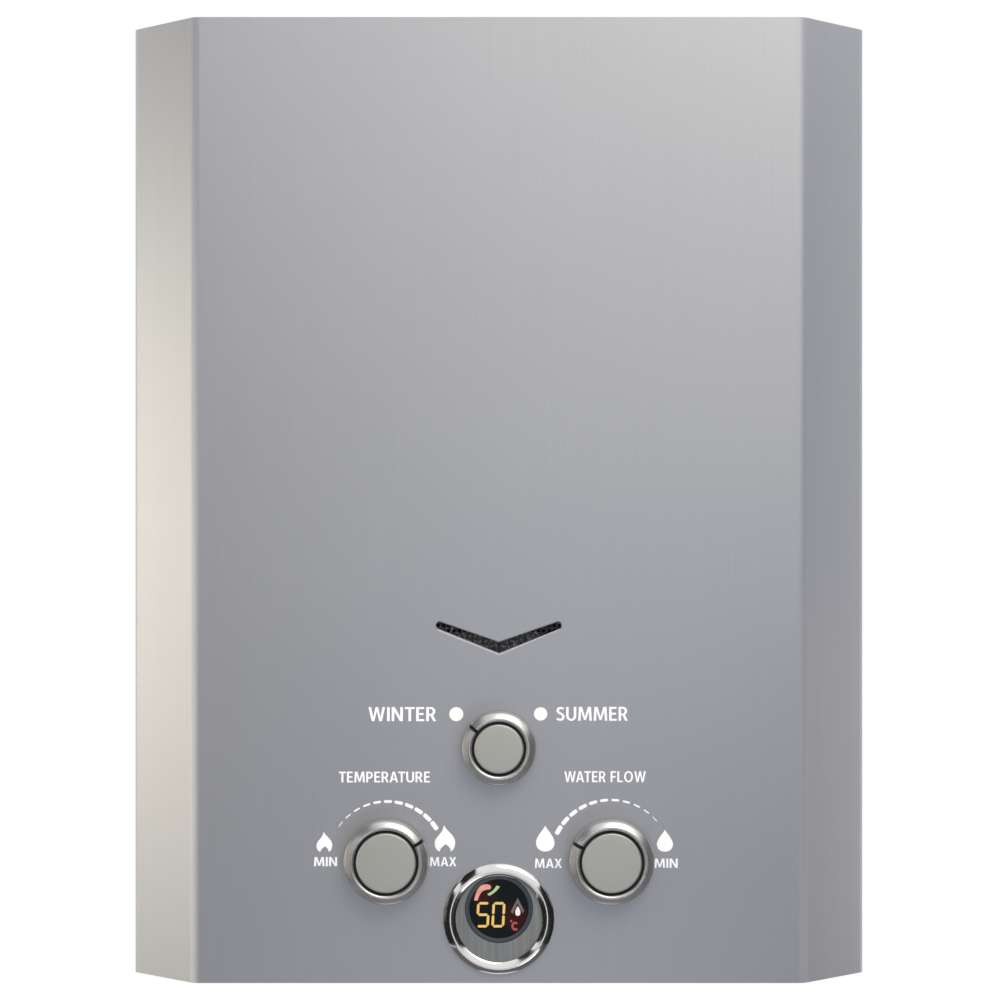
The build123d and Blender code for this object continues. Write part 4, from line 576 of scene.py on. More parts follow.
slope = atan2(RING_DROP, RING_WIDTH - RING_LIP)
steep = 90 - degrees(slope)
shoulder = KNOB_HEIGHT - RING_DROP - RING_ROUND * (1 - sin(slope)) / cos(slope)
for knob, (x, z, radius, pointer) in KNOBS.items():
    inner = radius - RING_WIDTH
    outer_mid, inner_mid = (radius - RING_ROUND, shoulder), (inner + RING_LIP, RING_TOP - LIP_DROP)
    profile = [(inner, KNOB_GAP), (radius - RING_EDGE, KNOB_GAP), (radius, KNOB_GAP + RING_EDGE)]
    profile += oval(outer_mid, RING_ROUND, RING_ROUND, 0, steep, RING_STEPS)
    profile += oval(inner_mid, RING_LIP, LIP_DROP, steep, 180, RING_STEPS)
    ring = turned_piece(f"{knob}_ring", profile, (x, z), satin_nickel, pointer, SLOT_WIDTH)
    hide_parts(f"{knob}_knob_ring")
    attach(ring, f"{knob}_control")

# Knob cores: black ABS mouldings, pushed on the spindles. They show in the groove round the cap
# and as the pointer.
give(abs_black, "season_knob_core", "temperature_knob_core", "water_flow_knob_core")

# Knob caps: aluminium discs with rounded rims, glued in the cores. They are bead blasted, which
# leaves an even grey with a very fine sparkle.
GROOVE_WIDTH = 1.2 * MM
GROOVE_DEPTH = 2.2 * MM
CAP_SINK = 0.3 * MM
CAP_ROUND = 0.9 * MM
CAP_STEPS = 10
CAP_DOME = 0.1 * MM
DOME_SHARES = ((0.55, 0.7), (0.1, 1.0))
BEAD_SIZE = 0.8 * MM
BEAD_DEPTH = 0.03 * MM

blasted = mottled(
    "bead_blasted_aluminium", [("Metallic", 0.75)], BEAD_SIZE, 2.0, "#acada8", "#b9bab5", (0.42, 0.54)
)
tree, shader, place = insides(blasted)
beads = tree.nodes["clouds"].outputs["Fac"]
dimples = add_node(
    tree, "ShaderNodeBump", [("Height", beads), ("Strength", 0.12), ("Distance", BEAD_DEPTH)]
).outputs["Normal"]
feed(shader, [("Normal", dimples)])

for knob, (x, z, radius, pointer) in KNOBS.items():
    rim = radius - RING_WIDTH - GROOVE_WIDTH
    top = KNOB_HEIGHT - CAP_SINK
    profile = [(rim, KNOB_HEIGHT - GROOVE_DEPTH)]
    profile += oval((rim - CAP_ROUND, top - CAP_ROUND), CAP_ROUND, CAP_ROUND, 0, 90, CAP_STEPS)
    profile += [(rim * across, top + CAP_DOME * up) for across, up in DOME_SHARES]
    cap = turned_piece(f"{knob}_cap", profile, (x, z), blasted, closed=False)
    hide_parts(f"{knob}_knob_cap")
    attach(cap, f"{knob}_control")

# Display bezel: a brass ring, pressed, polished and chrome plated, clipped over the display cup.
# It is mirror bright, with only faint polishing haze.
DISPLAY_Z = -190.5 * MM
BEZEL_OUTER = 25.1 * MM
BEZEL_INNER = 19.6 * MM
BEZEL_RISE = 3.3 * MM
BEZEL_CREST = 22.3 * MM
BEZEL_LIP = 2.4 * MM
BEZEL_STEEP = 42
BEZEL_STEPS = 24
POLISH_HAZE = 6 * MM

chrome = mottled(
    "polished_chrome_plate", [("Metallic", 1.0)], POLISH_HAZE, 4.0, "#d9d8d6", "#e6e6e4", (0.05, 0.12)
)
bend = (BEZEL_OUTER - BEZEL_CREST) / sin(radians(BEZEL_STEEP))
bend_mid, lip_mid = (BEZEL_CREST, BEZEL_RISE - bend), (BEZEL_CREST, BEZEL_LIP)
lip_width, lip_rise = BEZEL_CREST - BEZEL_INNER, BEZEL_RISE - BEZEL_LIP
profile = [(BEZEL_INNER, 0.0), (BEZEL_OUTER, 0.0)]
profile += oval(bend_mid, bend, bend, 90 - BEZEL_STEEP, 90, BEZEL_STEPS)
profile += oval(lip_mid, lip_width, lip_rise, 90, 180, BEZEL_STEPS)[1:]
bezel = turned_piece("display_bezel_ring", profile, (0.0, DISPLAY_Z), chrome)
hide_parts("display_bezel")
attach(bezel, "housing")

# Display plate: a disc of stainless steel, stamped and held inside the bezel. It is brushed like
# the panel but a little darker.
plate_steel = brushed_steel("brushed_stainless_plate", "#939695", "#777a7b", 0.42, 0.6)
give(plate_steel, "display_plate")

# Display lens: a disc of smoked acrylic, cast, polished flat and set in the plate. It is almost
# black, and the light of the red signs spreads a little in it.
LENS_Z = -186.1 * MM
LENS_EDGE = 13.5 * MM
LENS_RISE = 0.6 * MM
LENS_DEPTH = 1.0 * MM
LENS_POLE = 0.05 * LENS_EDGE
SMOKE_SIZE = 9 * MM
GLOW_SPOTS = ((-7.0 * MM, -178.8 * MM), (7.4 * MM, -189.8 * MM))
GLOW_CORE = 3 * MM
GLOW_EDGE = 7.5 * MM

smoked = [("IOR", 1.49), ("Roughness", 0.06), ("Specular IOR Level", 0.1)]
acrylic = mottled("smoked_acrylic", smoked, SMOKE_SIZE, 2.0, "#05090c", "#0b1319")
tree, shader, place = insides(acrylic)
glows = []
for x, z in GLOW_SPOTS:
    spot = (x, PANEL_Y, z)
    away = add_node(tree, "ShaderNodeVectorMath", [(0, place), (1, spot)], operation="DISTANCE")
    reach = [("Value", away.outputs["Value"]), ("From Min", GLOW_CORE), ("From Max", GLOW_EDGE)]
    fade = add_node(tree, "ShaderNodeMapRange", reach + [("To Min", 1.0), ("To Max", 0.0)])
    glows.append(fade.outputs["Result"])
glow = add_node(tree, "ShaderNodeMath", [(0, glows[0]), (1, glows[1])], operation="MAXIMUM").outputs[0]
warm = add_node(
    tree,
    "ShaderNodeMix",
    [(0, glow), (6, tree.nodes["tint"].outputs[2]), (7, colour("#2f100e"))],
    data_type="RGBA",
).outputs[2]
feed(shader, [("Base Color", warm)])

lens_foot = LENS_RISE - LENS_DEPTH
lens_profile = [(LENS_EDGE, lens_foot), (LENS_EDGE, LENS_RISE), (LENS_POLE, LENS_RISE)]
lens = turned_piece("display_glass", lens_profile, (0.0, LENS_Z), acrylic, closed=False)
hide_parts("display_lens")
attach(lens, "housing")

# Rim of the lens: a ring of slate-coloured ABS, moulded with a rounded edge and pressed round the
# lens. It has a satin skin with fine specks.
RIM_RADIUS = 15.45 * MM
RIM_RISE = 1.0 * MM
RIM_ROUND = RIM_RISE / 2
RIM_LAP = RIM_RISE / 10
RIM_STEPS = 8
RIM_SPECK = 0.5 * MM

satin_skin = [("IOR", 1.53), ("Roughness", 0.3)]
rim_slate = mottled("satin_slate_abs", satin_skin, RIM_SPECK, 2.0, "#2a2f34", "#3a4046")
round_mid = (RIM_RADIUS - RIM_ROUND, RIM_ROUND)
rim_profile = [(LENS_EDGE, lens_foot), (RIM_RADIUS, lens_foot)]
rim_profile += oval(round_mid, RIM_ROUND, RIM_ROUND, 0, 90, RIM_STEPS)
rim_profile += [(LENS_EDGE, LENS_RISE + RIM_LAP)]
rim = turned_piece("display_rim", rim_profile, (0.0, LENS_Z), rim_slate)
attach(rim, "housing")

# Display module and board behind the lens: a block of LEDs cast in black plastic, soldered to a
# board of pressed glass cloth and epoxy. The board's green lacquer shows the weave a little.
CLOTH_SIZE = 1.2 * MM

give(abs_black, "display_module")
lacquered = [("IOR", 1.5), ("Roughness", 0.35)]
board = mottled("lacquered_glass_epoxy", lacquered, CLOTH_SIZE, 2.0, "#0f3a20", "#1b5732")
give(board, "display_board")

# Lit signs in the display: thin printed windows over LEDs. They show a two-figure temperature, a
# tap with a stream, a flame and the degree sign, each in its own colour.
PRINT_THICK = 0.03 * MM
SIGN_RISE = LENS_RISE + 0.02 * MM
FILM_CLOUD = 2.5 * MM


def flat_piece(name, outlines, rise, material):
    """Thin flat piece, as thick as print, whose outlines are (x, z) points over the panel."""
    made = bmesh.new()
    for outline in outlines:
        face = made.faces.new([made.verts.new((x, PANEL_Y - rise, z)) for x, z in outline])
        lifted = bmesh.ops.extrude_face_region(made, geom=[face])["geom"]
        moved = [v for v in lifted if isinstance(v, bmesh.types.BMVert)]
        bmesh.ops.translate(made, verts=moved, vec=(0, -PRINT_THICK, 0))
    bmesh.ops.recalc_face_normals(made, faces=made.faces)
    piece = finished_piece(name, made, material)
    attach(piece, "housing")


def curved(start, *stretches, count=12):
    """Line of curves joined end to end: each stretch gives its two pulls and its end."""
    line = [start]
    for first, second, end in stretches:
        here = line[-1]
        for s in [step / count for step in range(1, count + 1)]:
            shares = ((1 - s) ** 3, 3 * s * (1 - s) ** 2, 3 * s**2 * (1 - s), s**3)
            points = (here, first, second, end)
            line.append(tuple(sum(k * p[i] for k, p in zip(shares, points)) for i in (0, 1)))
    return line


def metres(points):
    """Points given in millimetres, turned to metres."""
    return [(x * MM, z * MM) for x, z in points]


def lit(name, code, edge):
    """Back-lit film: even light of one colour, a little deeper in faint clouds."""
    made = new_material(name, [("Roughness", 0.4), ("Emission Strength", 0.95)])
    tree, shader, place = insides(made)
    glow = add_node(
        tree, "ShaderNodeTexNoise", [("Vector", place), ("Scale", 1 / FILM_CLOUD), ("Detail", 1.0)]
    ).outputs["Fac"]
    hue = add_node(
        tree, "ShaderNodeMix", [(0, glow), (6, colour(edge)), (7, colour(code))], data_type="RGBA"
    ).outputs[2]
    feed(shader, [("Emission Color", hue), ("Base Color", colour("#140f0c"))])
    return made


# The figures: seven bars each, mitred at their ends
DIGIT_WIDTH = 5.9 * MM
DIGIT_HEIGHT = 11.6 * MM
DIGIT_STROKE = 1.15 * MM
DIGIT_GAP = 0.12 * MM
DIGIT_SLANT = 0.055
DIGIT_PLACES = ((-10.5 * MM, "acdfg"), (-3.5 * MM, "abcdef"))
DIGIT_BOTTOM = -194.6 * MM


def digit_bars(left, lit_bars):
    """Outlines of the lit bars of one slanted seven-bar figure."""
    half = DIGIT_STROKE / 2
    right, top = left + DIGIT_WIDTH, DIGIT_BOTTOM + DIGIT_HEIGHT
    levels = {"a": top - half, "g": (top + DIGIT_BOTTOM) / 2, "d": DIGIT_BOTTOM + half}
    sides = {"f": (left + half, "g", "a"), "b": (right - half, "g", "a")}
    sides.update({"e": (left + half, "d", "g"), "c": (right - half, "d", "g")})
    bars = []
    for bar in lit_bars:
        if bar in levels:
            z, start, end = levels[bar], left + half + DIGIT_GAP, right - half - DIGIT_GAP
            bars.append([
                (start, z), (start + half, z + half), (end - half, z + half),
                (end, z), (end - half, z - half), (start + half, z - half),
            ])
        else:
            x, low, high = sides[bar]
            start, end = levels[low] + DIGIT_GAP, levels[high] - DIGIT_GAP
            bars.append([
                (x, start), (x + half, start + half), (x + half, end - half),
                (x, end), (x - half, end - half), (x - half, start + half),
            ])
    return [[(x + DIGIT_SLANT * (z - DIGIT_BOTTOM), z) for x, z in bar] for bar in bars]


amber = lit("lit_amber_film", "#f7d06c", "#efbd6e")
figures = [bar for left, bars in DIGIT_PLACES for bar in digit_bars(left, bars)]
flat_piece("display_figures", figures, SIGN_RISE, amber)

# The tap: a bent spout, wide at its mouth, and the stream beside it
TAP = curved((-11.3, -182.2), ((-10.4, -178.0), (-9.2, -174.6), (-5.0, -174.9)))
TAP += [(-3.7, -175.6), (-3.5, -176.6)]
TAP += curved((-4.2, -177.3), ((-7.2, -177.2), (-8.7, -178.6), (-9.7, -182.4)))
STREAM = curved((-5.3, -179.3), ((-3.6, -178.6), (-2.2, -177.6), (-1.1, -175.5)))
STREAM += curved((0.5, -176.0), ((-0.9, -177.9), (-2.2, -179.0), (-4.4, -180.2)))
rose = lit("lit_rose_film", "#f2b3a4", "#d98678")
flat_piece("display_tap", [metres(TAP)], SIGN_RISE, rose)
green = lit("lit_green_film", "#c4dcae", "#9fc48a")
flat_piece("display_stream", [metres(STREAM)], SIGN_RISE, green)

# The flame sign: a pointed outline, dimly lit, over a bright drop
SPIRE = [(5.4, -187.4), (8.5, -181.1), (11.6, -187.1), (10.7, -188.1), (8.5, -183.6), (6.3, -188.4)]
HEART = curved(
    (8.6, -184.9),
    ((10.2, -187.0), (10.2, -189.2), (8.6, -189.3)),
    ((7.0, -189.2), (7.0, -187.0), (8.6, -184.9)),
)[:-1]
dim = lit("lit_dim_film", "#7b6d6e", "#5d5254")
flat_piece("display_spire", [metres(SPIRE)], SIGN_RISE, dim)
white_film = lit("lit_white_film", "#fff4ee", "#ffe2d6")
flat_piece("display_flame", [metres(HEART)], SIGN_RISE, white_film)

# The degree sign: an open ring and a dot
DEGREE_MID = (7.4, -194.0)
DEGREE_STEPS = 18
OPEN_RING = oval(DEGREE_MID, 1.75, 2.0, 45, 315, DEGREE_STEPS)
OPEN_RING += oval(DEGREE_MID, 0.75, 1.0, 315, 45, DEGREE_STEPS)
DOT_MID = (5.6, -191.7)
DOT_RADIUS = 0.55
DOT = oval(DOT_MID, DOT_RADIUS, DOT_RADIUS, 0, 360, DEGREE_STEPS)[:-1]
red = lit("lit_red_film", "#c5555c", "#a03a44")
flat_piece("display_degree", [metres(OPEN_RING), metres(DOT)], SIGN_RISE, red)

# Words, dots and signs on the panel: white enamel ink, screen printed through a stencil and baked.
# The ink is thin, slightly cloudy and almost matt. The capitals are upright, semi-bold and plain.
PRINT_RISE = 0.01 * MM
INK_PORE = 1.4 * MM
LETTER_GAP = 0.115
WORD_GAP = 0.30
TUCKS = {"WA": 0.10, "AT": 0.11, "RA": 0.05, "AX": 0.05, "TE": 0.03, "TU": 0.03}

baked = [("Roughness", 0.45), ("IOR", 1.5)]
white_ink = mottled("screen_printed_ink", baked, INK_PORE, 3.0, "#f6f6f5", "#fefefd")


def stroke(line, weight):
    """Outline of a line drawn with a pen of that weight."""
    left, right = [], []
    for i, point in enumerate(line):
        before, after = line[max(i - 1, 0)], line[min(i + 1, len(line) - 1)]
        run = Vector((after[0] - before[0], after[1] - before[1])).normalized() * weight / 2
        left.append((point[0] - run.y, point[1] + run.x))
        right.append((point[0] + run.y, point[1] - run.x))
    return left + right[::-1]


# Stencil letters, one unit high: each has its width and its outlines, the first one solid and any
# second one a hole in it. S is the width of a stem.
S = 0.155
CURL = curved(
    (0.455, 0.845),
    ((0.36, 0.95), (0.09, 0.97), (0.095, 0.73)),
    ((0.10, 0.51), (0.455, 0.55), (0.45, 0.265)),
    ((0.44, 0.02), (0.16, 0.04), (0.035, 0.155)),
)
LETTERS = {
    "I": (S, [[(0, 0), (S, 0), (S, 1), (0, 1)]]),
    "L": (0.46, [[(0, 0), (0.46, 0), (0.46, 0.14), (S, 0.14), (S, 1), (0, 1)]]),
    "T": (
        0.58,
        [[
            (0.29 - S / 2, 0), (0.29 + S / 2, 0), (0.29 + S / 2, 0.86), (0.58, 0.86),
            (0.58, 1), (0, 1), (0, 0.86), (0.29 - S / 2, 0.86),
        ]],
    ),
    "E": (
        0.48,
        [[
            (0, 0), (0.48, 0), (0.48, 0.14), (S, 0.14), (S, 0.44), (0.44, 0.44), (0.44, 0.58),
            (S, 0.58), (S, 0.86), (0.47, 0.86), (0.47, 1), (0, 1),
        ]],
    ),
    "F": (
        0.46,
        [[
            (0, 0), (S, 0), (S, 0.42), (0.43, 0.42), (0.43, 0.56), (S, 0.56), (S, 0.86),
            (0.46, 0.86), (0.46, 1), (0, 1),
        ]],
    ),
    "N": (
        0.66,
        [[
            (0, 0), (S, 0), (S, 0.70), (0.66 - S * 1.15, 0), (0.66, 0), (0.66, 1), (0.66 - S, 1),
            (0.66 - S, 0.30), (S * 1.15, 1), (0, 1),
        ]],
    ),
    "M": (
        0.86,
        [[
            (0, 0), (S, 0), (S + 0.03, 0.70), (0.37, 0.05), (0.49, 0.05), (0.83 - S, 0.70),
            (0.86 - S, 0), (0.86, 0), (0.81, 1), (0.80 - S * 1.2, 1), (0.43, 0.28),
            (0.06 + S * 1.2, 1), (0.05, 1),
        ]],
    ),
    "W": (
        0.98,
        [[
            (0, 1), (S, 1), (0.28, 0.26), (0.415, 1), (0.565, 1), (0.70, 0.26), (0.98 - S, 1),
            (0.98, 1), (0.785, 0), (0.635, 0), (0.49, 0.72), (0.345, 0), (0.195, 0),
        ]],
    ),
    "A": (
        0.70,
        [
            [
                (0, 0), (S, 0), (S + 0.065, 0.22), (0.635 - S, 0.22), (0.70 - S, 0), (0.70, 0),
                (0.44, 1), (0.26, 1),
            ],
            [(S + 0.105, 0.35), (0.35, 0.84), (0.595 - S, 0.35)],
        ],
    ),
    "X": (
        0.66,
        [[
            (0, 0), (S * 1.15, 0), (0.33, 0.37), (0.66 - S * 1.15, 0), (0.66, 0), (0.425, 0.51),
            (0.645, 1), (0.645 - S * 1.15, 1), (0.33, 0.66), (0.015 + S * 1.15, 1), (0.015, 1),
            (0.235, 0.51),
        ]],
    ),
    "P": (
        0.54,
        [
            [(0, 0), (S, 0), (S, 0.35)] + oval((0.26, 0.675), 0.28, 0.325, -90, 90) + [(0, 1)],
            [(S, 0.48)] + oval((0.26, 0.675), 0.28 - S, 0.195, -90, 90) + [(S, 0.87)],
        ],
    ),
    "R": (
        0.58,
        [
            [(0, 0), (S, 0), (S, 0.39), (0.25, 0.39), (0.41, 0), (0.58, 0), (0.40, 0.43)]
            + oval((0.26, 0.70), 0.28, 0.30, -58, 90)
            + [(0, 1)],
            [(S, 0.52)] + oval((0.26, 0.695), 0.28 - S, 0.175, -90, 90) + [(S, 0.87)],
        ],
    ),
    "U": (
        0.64,
        [
            [(0, 1)] + oval((0.32, 0.36), 0.32, 0.37, 180, 360, 20) + [(0.64, 1), (0.64 - S, 1)]
            + oval((0.32, 0.36), 0.32 - S, 0.37 - S * 0.9, 360, 180, 20) + [(S, 1)]
        ],
    ),
    "O": (
        0.76,
        [
            oval((0.38, 0.5), 0.38, 0.515, 0, 350, 35),
            oval((0.38, 0.5), 0.38 - S, 0.515 - S * 0.9, 0, 350, 35),
        ],
    ),
    "S": (0.51, [stroke(CURL, S * 0.97)]),
}

# Each word with the left and right end and the foot and head of its capitals, in millimetres
WORDS = {
    "winter": ("WINTER", -59.4, -28.6, -100.7, -94.3),
    "summer": ("SUMMER", 26.1, 58.7, -100.5, -94.2),
    "temperature": ("TEMPERATURE", -72.9, -31.4, -128.6, -123.7),
    "water_flow": ("WATER FLOW", 29.8, 66.9, -128.5, -123.5),
    "coolest": ("MIN", -84.2, -73.7, -166.8, -162.6),
    "hottest": ("MAX", -31.4, -19.4, -166.8, -162.6),
    "most": ("MAX", 16.4, 28.7, -167.6, -163.3),
    "least": ("MIN", 70.9, 81.4, -167.5, -163.3),
}


def printed_word(name, words, left, right, foot, head):
    """One word as a thin mesh, set between its ends and its foot and head lines."""
    made = bmesh.new()
    reach = 0.0
    for i, letter in enumerate(words):
        if letter == " ":
            reach += WORD_GAP
            continue
        width, loops = LETTERS[letter]
        rims = []
        for loop in loops:
            ring = [made.verts.new((reach + x, 0, z)) for x, z in loop]
            rims += [made.edges.new(pair) for pair in zip(ring, ring[1:] + ring[:1])]
        bmesh.ops.triangle_fill(made, edges=rims, use_beauty=True, normal=(0, -1, 0))
        reach += width + LETTER_GAP - TUCKS.get(words[i : i + 2], 0.0)
    reach -= LETTER_GAP
    wide, tall = (right - left) * MM / reach, (head - foot) * MM
    for v in made.verts:
        v.co = (left * MM + v.co.x * wide, PANEL_Y - PRINT_RISE, foot * MM + v.co.z * tall)
    raised = bmesh.ops.extrude_face_region(made, geom=made.faces[:], use_keep_orig=True)["geom"]
    front = [v for v in raised if isinstance(v, bmesh.types.BMVert)]
    bmesh.ops.translate(made, verts=front, vec=(0, -PRINT_THICK, 0))
    bmesh.ops.recalc_face_normals(made, faces=made.faces)
    piece = finished_piece(f"print_{name}", made, white_ink)
    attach(piece, "housing")


for name, (words, left, right, foot, head) in WORDS.items():
    printed_word(name, words, left, right, foot, head)

# The two dots of the season knob's scale, each with its place and radius in millimetres
SEASON_DOTS = ((-19.4, -97.5, 3.2), (19.0, -97.4, 3.05))
DOT_STEPS = 40
dots = [metres(oval((x, z), r, r, 0, 360, DOT_STEPS)[:-1]) for x, z, r in SEASON_DOTS]
flat_piece("print_season_dots", dots, PRINT_RISE, white_ink)

# Flames beside the temperature dial and drops beside the flow dial, small at one end of the scale
# and large at the other. A flame leans its tip to the left and has a notch between two feet, and
# a drop is a round foot drawn up to a soft point. Places, widths and heights are in millimetres.
FLAME = curved(
    (0.46, 1.0),
    ((0.50, 0.80), (1.02, 0.62), (1.0, 0.34)),
    ((1.0, 0.16), (0.92, 0.06), (0.78, 0.0)),
    ((0.80, 0.12), (0.68, 0.20), (0.54, 0.28)),
    ((0.42, 0.20), (0.24, 0.12), (0.25, 0.0)),
    ((0.06, 0.06), (0.0, 0.18), (0.0, 0.32)),
    ((0.02, 0.58), (0.40, 0.64), (0.46, 1.0)),
)[:-1]
DROP = curved(
    (0.5, 1.0),
    ((0.56, 0.86), (1.0, 0.58), (1.0, 0.34)),
    ((1.0, 0.12), (0.78, 0.0), (0.5, 0.0)),
    ((0.22, 0.0), (0.0, 0.12), (0.0, 0.34)),
    ((0.0, 0.58), (0.44, 0.86), (0.5, 1.0)),
)[:-1]
SIGNS = {
    "print_flames": (FLAME, ((-79.5, -155.6, 7.1, 9.4), (-24.6, -154.0, 9.3, 12.3))),
    "print_drops": (DROP, ((21.1, -154.1, 8.4, 11.9), (75.6, -155.1, 7.3, 10.1))),
}
for name, (shape, places) in SIGNS.items():
    outlines = [
        metres((x + (a - 0.5) * width, z + (b - 0.5) * height) for a, b in shape)
        for x, z, width, height in places
    ]
    flat_piece(name, outlines, PRINT_RISE, white_ink)

# Dashed scales round the two dials: dashes with rounded corners, printed with the words in the
# same white ink. They swell from thin to thick with the setting.
DASHES = 11
DASH_SHORT = 2.8 * MM
DASH_LONG = 4.5 * MM
DASH_THIN = 0.35 * MM
DASH_THICK = 2.1 * MM
DASH_ROUND = 0.22
DASH_SIDES = 3
DASH_WELD = 1e-4
DASH_SCALES = {
    "temperature": (26.7 * MM, 142.0, 36.0),
    "water_flow": (27.4 * MM, 43.0, 150.0),
}


def new_group(name, inputs):
    """Node group with these inputs, by name and kind, and its input node's sockets."""
    tree = bpy.data.node_groups.new(name, "GeometryNodeTree")
    for label, kind in inputs.items():
        tree.interface.new_socket(label, in_out="INPUT", socket_type=f"NodeSocket{kind}")
    tree.interface.new_socket("Geometry", in_out="OUTPUT", socket_type="NodeSocketGeometry")
    return tree, add_node(tree, "NodeGroupInput").outputs


def end_group(tree, shape, material):
    """Makes the group's instances real, gives them their material and leads them out."""
    real = add_node(tree, "GeometryNodeRealizeInstances", [("Geometry", shape)]).outputs[0]
    dressed = add_node(
        tree, "GeometryNodeSetMaterial", [("Geometry", real), ("Material", material)]
    ).outputs[0]
    add_node(tree, "NodeGroupOutput", [("Geometry", dressed)])


def grown_mesh(name, tree, values, foot):
    """Plain mesh that a node group grows with these named inputs, moved to its foot."""
    seed = bpy.data.objects.new(name, bpy.data.meshes.new(name))
    bpy.context.scene.collection.objects.link(seed)
    grow = seed.modifiers.new("grow", "NODES")
    grow.node_group = tree
    for socket in tree.interface.items_tree:
        if socket.name in values:
            grow[socket.identifier] = values[socket.name]
    mesh = bpy.data.meshes.new_from_object(seed.evaluated_get(bpy.context.evaluated_depsgraph_get()))
    seed.modifiers.remove(grow)
    bpy.data.objects.remove(seed)
    mesh.transform(Matrix.Translation(foot))
    return mesh


DASH_SIZES = ("Ring", "Thin Angle", "Thick Angle", "Thin", "Thick", "Short", "Long", "Depth")
dash_inputs = {"Dashes": "Int", **{label: "Float" for label in DASH_SIZES}, "Ink": "Material"}
tree, given = new_group("dashed_scale", dash_inputs)
count = add_node(tree, "GeometryNodeInputIndex").outputs["Index"]
last = add_node(
    tree, "ShaderNodeMath", [(0, given["Dashes"]), (1, 1.0)], operation="SUBTRACT"
).outputs[0]
share = add_node(tree, "ShaderNodeMath", [(0, count), (1, last)], operation="DIVIDE").outputs[0]
swell = {}
for label, low, high in (
    ("angle", "Thin Angle", "Thick Angle"), ("width", "Thin", "Thick"), ("length", "Short", "Long")
):
    swell[label] = add_node(
        tree, "ShaderNodeMapRange", [("Value", share), ("To Min", given[low]), ("To Max", given[high])]
    ).outputs["Result"]
angle = swell["angle"]
side = add_node(tree, "ShaderNodeMath", [(0, angle)], operation="COSINE").outputs[0]
lift = add_node(tree, "ShaderNodeMath", [(0, angle)], operation="SINE").outputs[0]
spoke = add_node(tree, "ShaderNodeCombineXYZ", [("X", side), ("Z", lift)]).outputs[0]
spot = add_node(
    tree, "ShaderNodeVectorMath", [(0, spoke), ("Scale", given["Ring"])], operation="SCALE"
).outputs["Vector"]
points = add_node(
    tree, "GeometryNodePoints", [("Count", given["Dashes"]), ("Position", spot)]
).outputs[0]
turn = add_node(tree, "ShaderNodeMath", [(0, pi / 2), (1, angle)], operation="SUBTRACT").outputs[0]
tilt = add_node(tree, "ShaderNodeCombineXYZ", [("Y", turn)]).outputs[0]
size = add_node(
    tree, "ShaderNodeCombineXYZ", [("X", swell["length"]), ("Y", given["Depth"]), ("Z", swell["width"])]
).outputs[0]
block = add_node(tree, "GeometryNodeCurvePrimitiveQuadrilateral", [("Width", 1.0), ("Height", 1.0)])
rounded = add_node(
    tree,
    "GeometryNodeFilletCurve",
    [("Curve", block.outputs[0]), ("Radius", DASH_ROUND), ("Count", DASH_SIDES)],
    mode="POLY",
).outputs[0]
face = add_node(tree, "GeometryNodeFillCurve", [("Curve", rounded)], mode="NGONS").outputs[0]
raised = add_node(tree, "GeometryNodeExtrudeMesh", [("Mesh", face), ("Offset Scale", 1.0)])
back = add_node(tree, "GeometryNodeFlipFaces", [("Mesh", face)]).outputs[0]
both = add_node(
    tree, "GeometryNodeJoinGeometry", [(0, raised.outputs["Mesh"]), (0, back)]
).outputs[0]
whole = add_node(
    tree, "GeometryNodeMergeByDistance", [("Geometry", both), ("Distance", DASH_WELD)]
).outputs[0]
upright = add_node(
    tree, "GeometryNodeTransform", [("Geometry", whole), ("Rotation", (pi / 2, 0, 0))]
).outputs[0]
laid = add_node(
    tree,
    "GeometryNodeInstanceOnPoints",
    [("Points", points), ("Instance", upright), ("Rotation", tilt), ("Scale", size)],
).outputs[0]
end_group(tree, laid, given["Ink"])

for knob, (ring, thin_at, thick_at) in DASH_SCALES.items():
    values = {
        "Dashes": DASHES,
        "Ring": ring,
        "Thin Angle": radians(thin_at),
        "Thick Angle": radians(thick_at),
        "Thin": DASH_THIN,
        "Thick": DASH_THICK,
        "Short": DASH_SHORT,
        "Long": DASH_LONG,
        "Depth": PRINT_THICK,
        "Ink": white_ink,
    }
    name = f"print_{knob}_scale"
    foot = (KNOBS[knob][0], PANEL_Y - PRINT_RISE, KNOBS[knob][1])
    scale = bpy.data.objects.new(name, grown_mesh(name, tree, values, foot))
    bpy.context.scene.collection.objects.link(scale)
    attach(scale, "housing")

# Pipe threads: half-inch parallel threads, cut on the brass connections below the bracket. Each
# is one triangular ridge wound round its fitting.
THREAD_PITCH = 1.814 * MM
THREAD_DEPTH = 0.42 * MM
THREAD_RADIUS = 10.48 * MM
THREAD_LENGTH = 12.6 * MM
THREAD_START = 1.2 * MM
THREAD_STEPS = 48
RIDGE_SIDES = 3


def grown_piece(name, mesh, material):
    """Finished piece from a grown mesh, with its faces turned outwards."""
    made = bmesh.new()
    made.from_mesh(mesh)
    bmesh.ops.recalc_face_normals(made, faces=made.faces)
    return finished_piece(name, made, material)


thread_sizes = {label: "Float" for label in ("Turns", "Radius", "Length", "Depth")}
tree, given = new_group("screw_thread", {"Steps": "Int", **thread_sizes, "Metal": "Material"})
winding = add_node(
    tree,
    "GeometryNodeCurveSpiral",
    [
        ("Resolution", given["Steps"]),
        ("Rotations", given["Turns"]),
        ("Start Radius", given["Radius"]),
        ("End Radius", given["Radius"]),
        ("Height", given["Length"]),
    ],
).outputs[0]
ridge = add_node(
    tree,
    "GeometryNodeCurvePrimitiveCircle",
    [("Resolution", RIDGE_SIDES), ("Radius", given["Depth"])],
).outputs[0]
cut = add_node(
    tree,
    "GeometryNodeCurveToMesh",
    [("Curve", winding), ("Profile Curve", ridge), ("Fill Caps", True)],
).outputs[0]
end_group(tree, cut, given["Metal"])

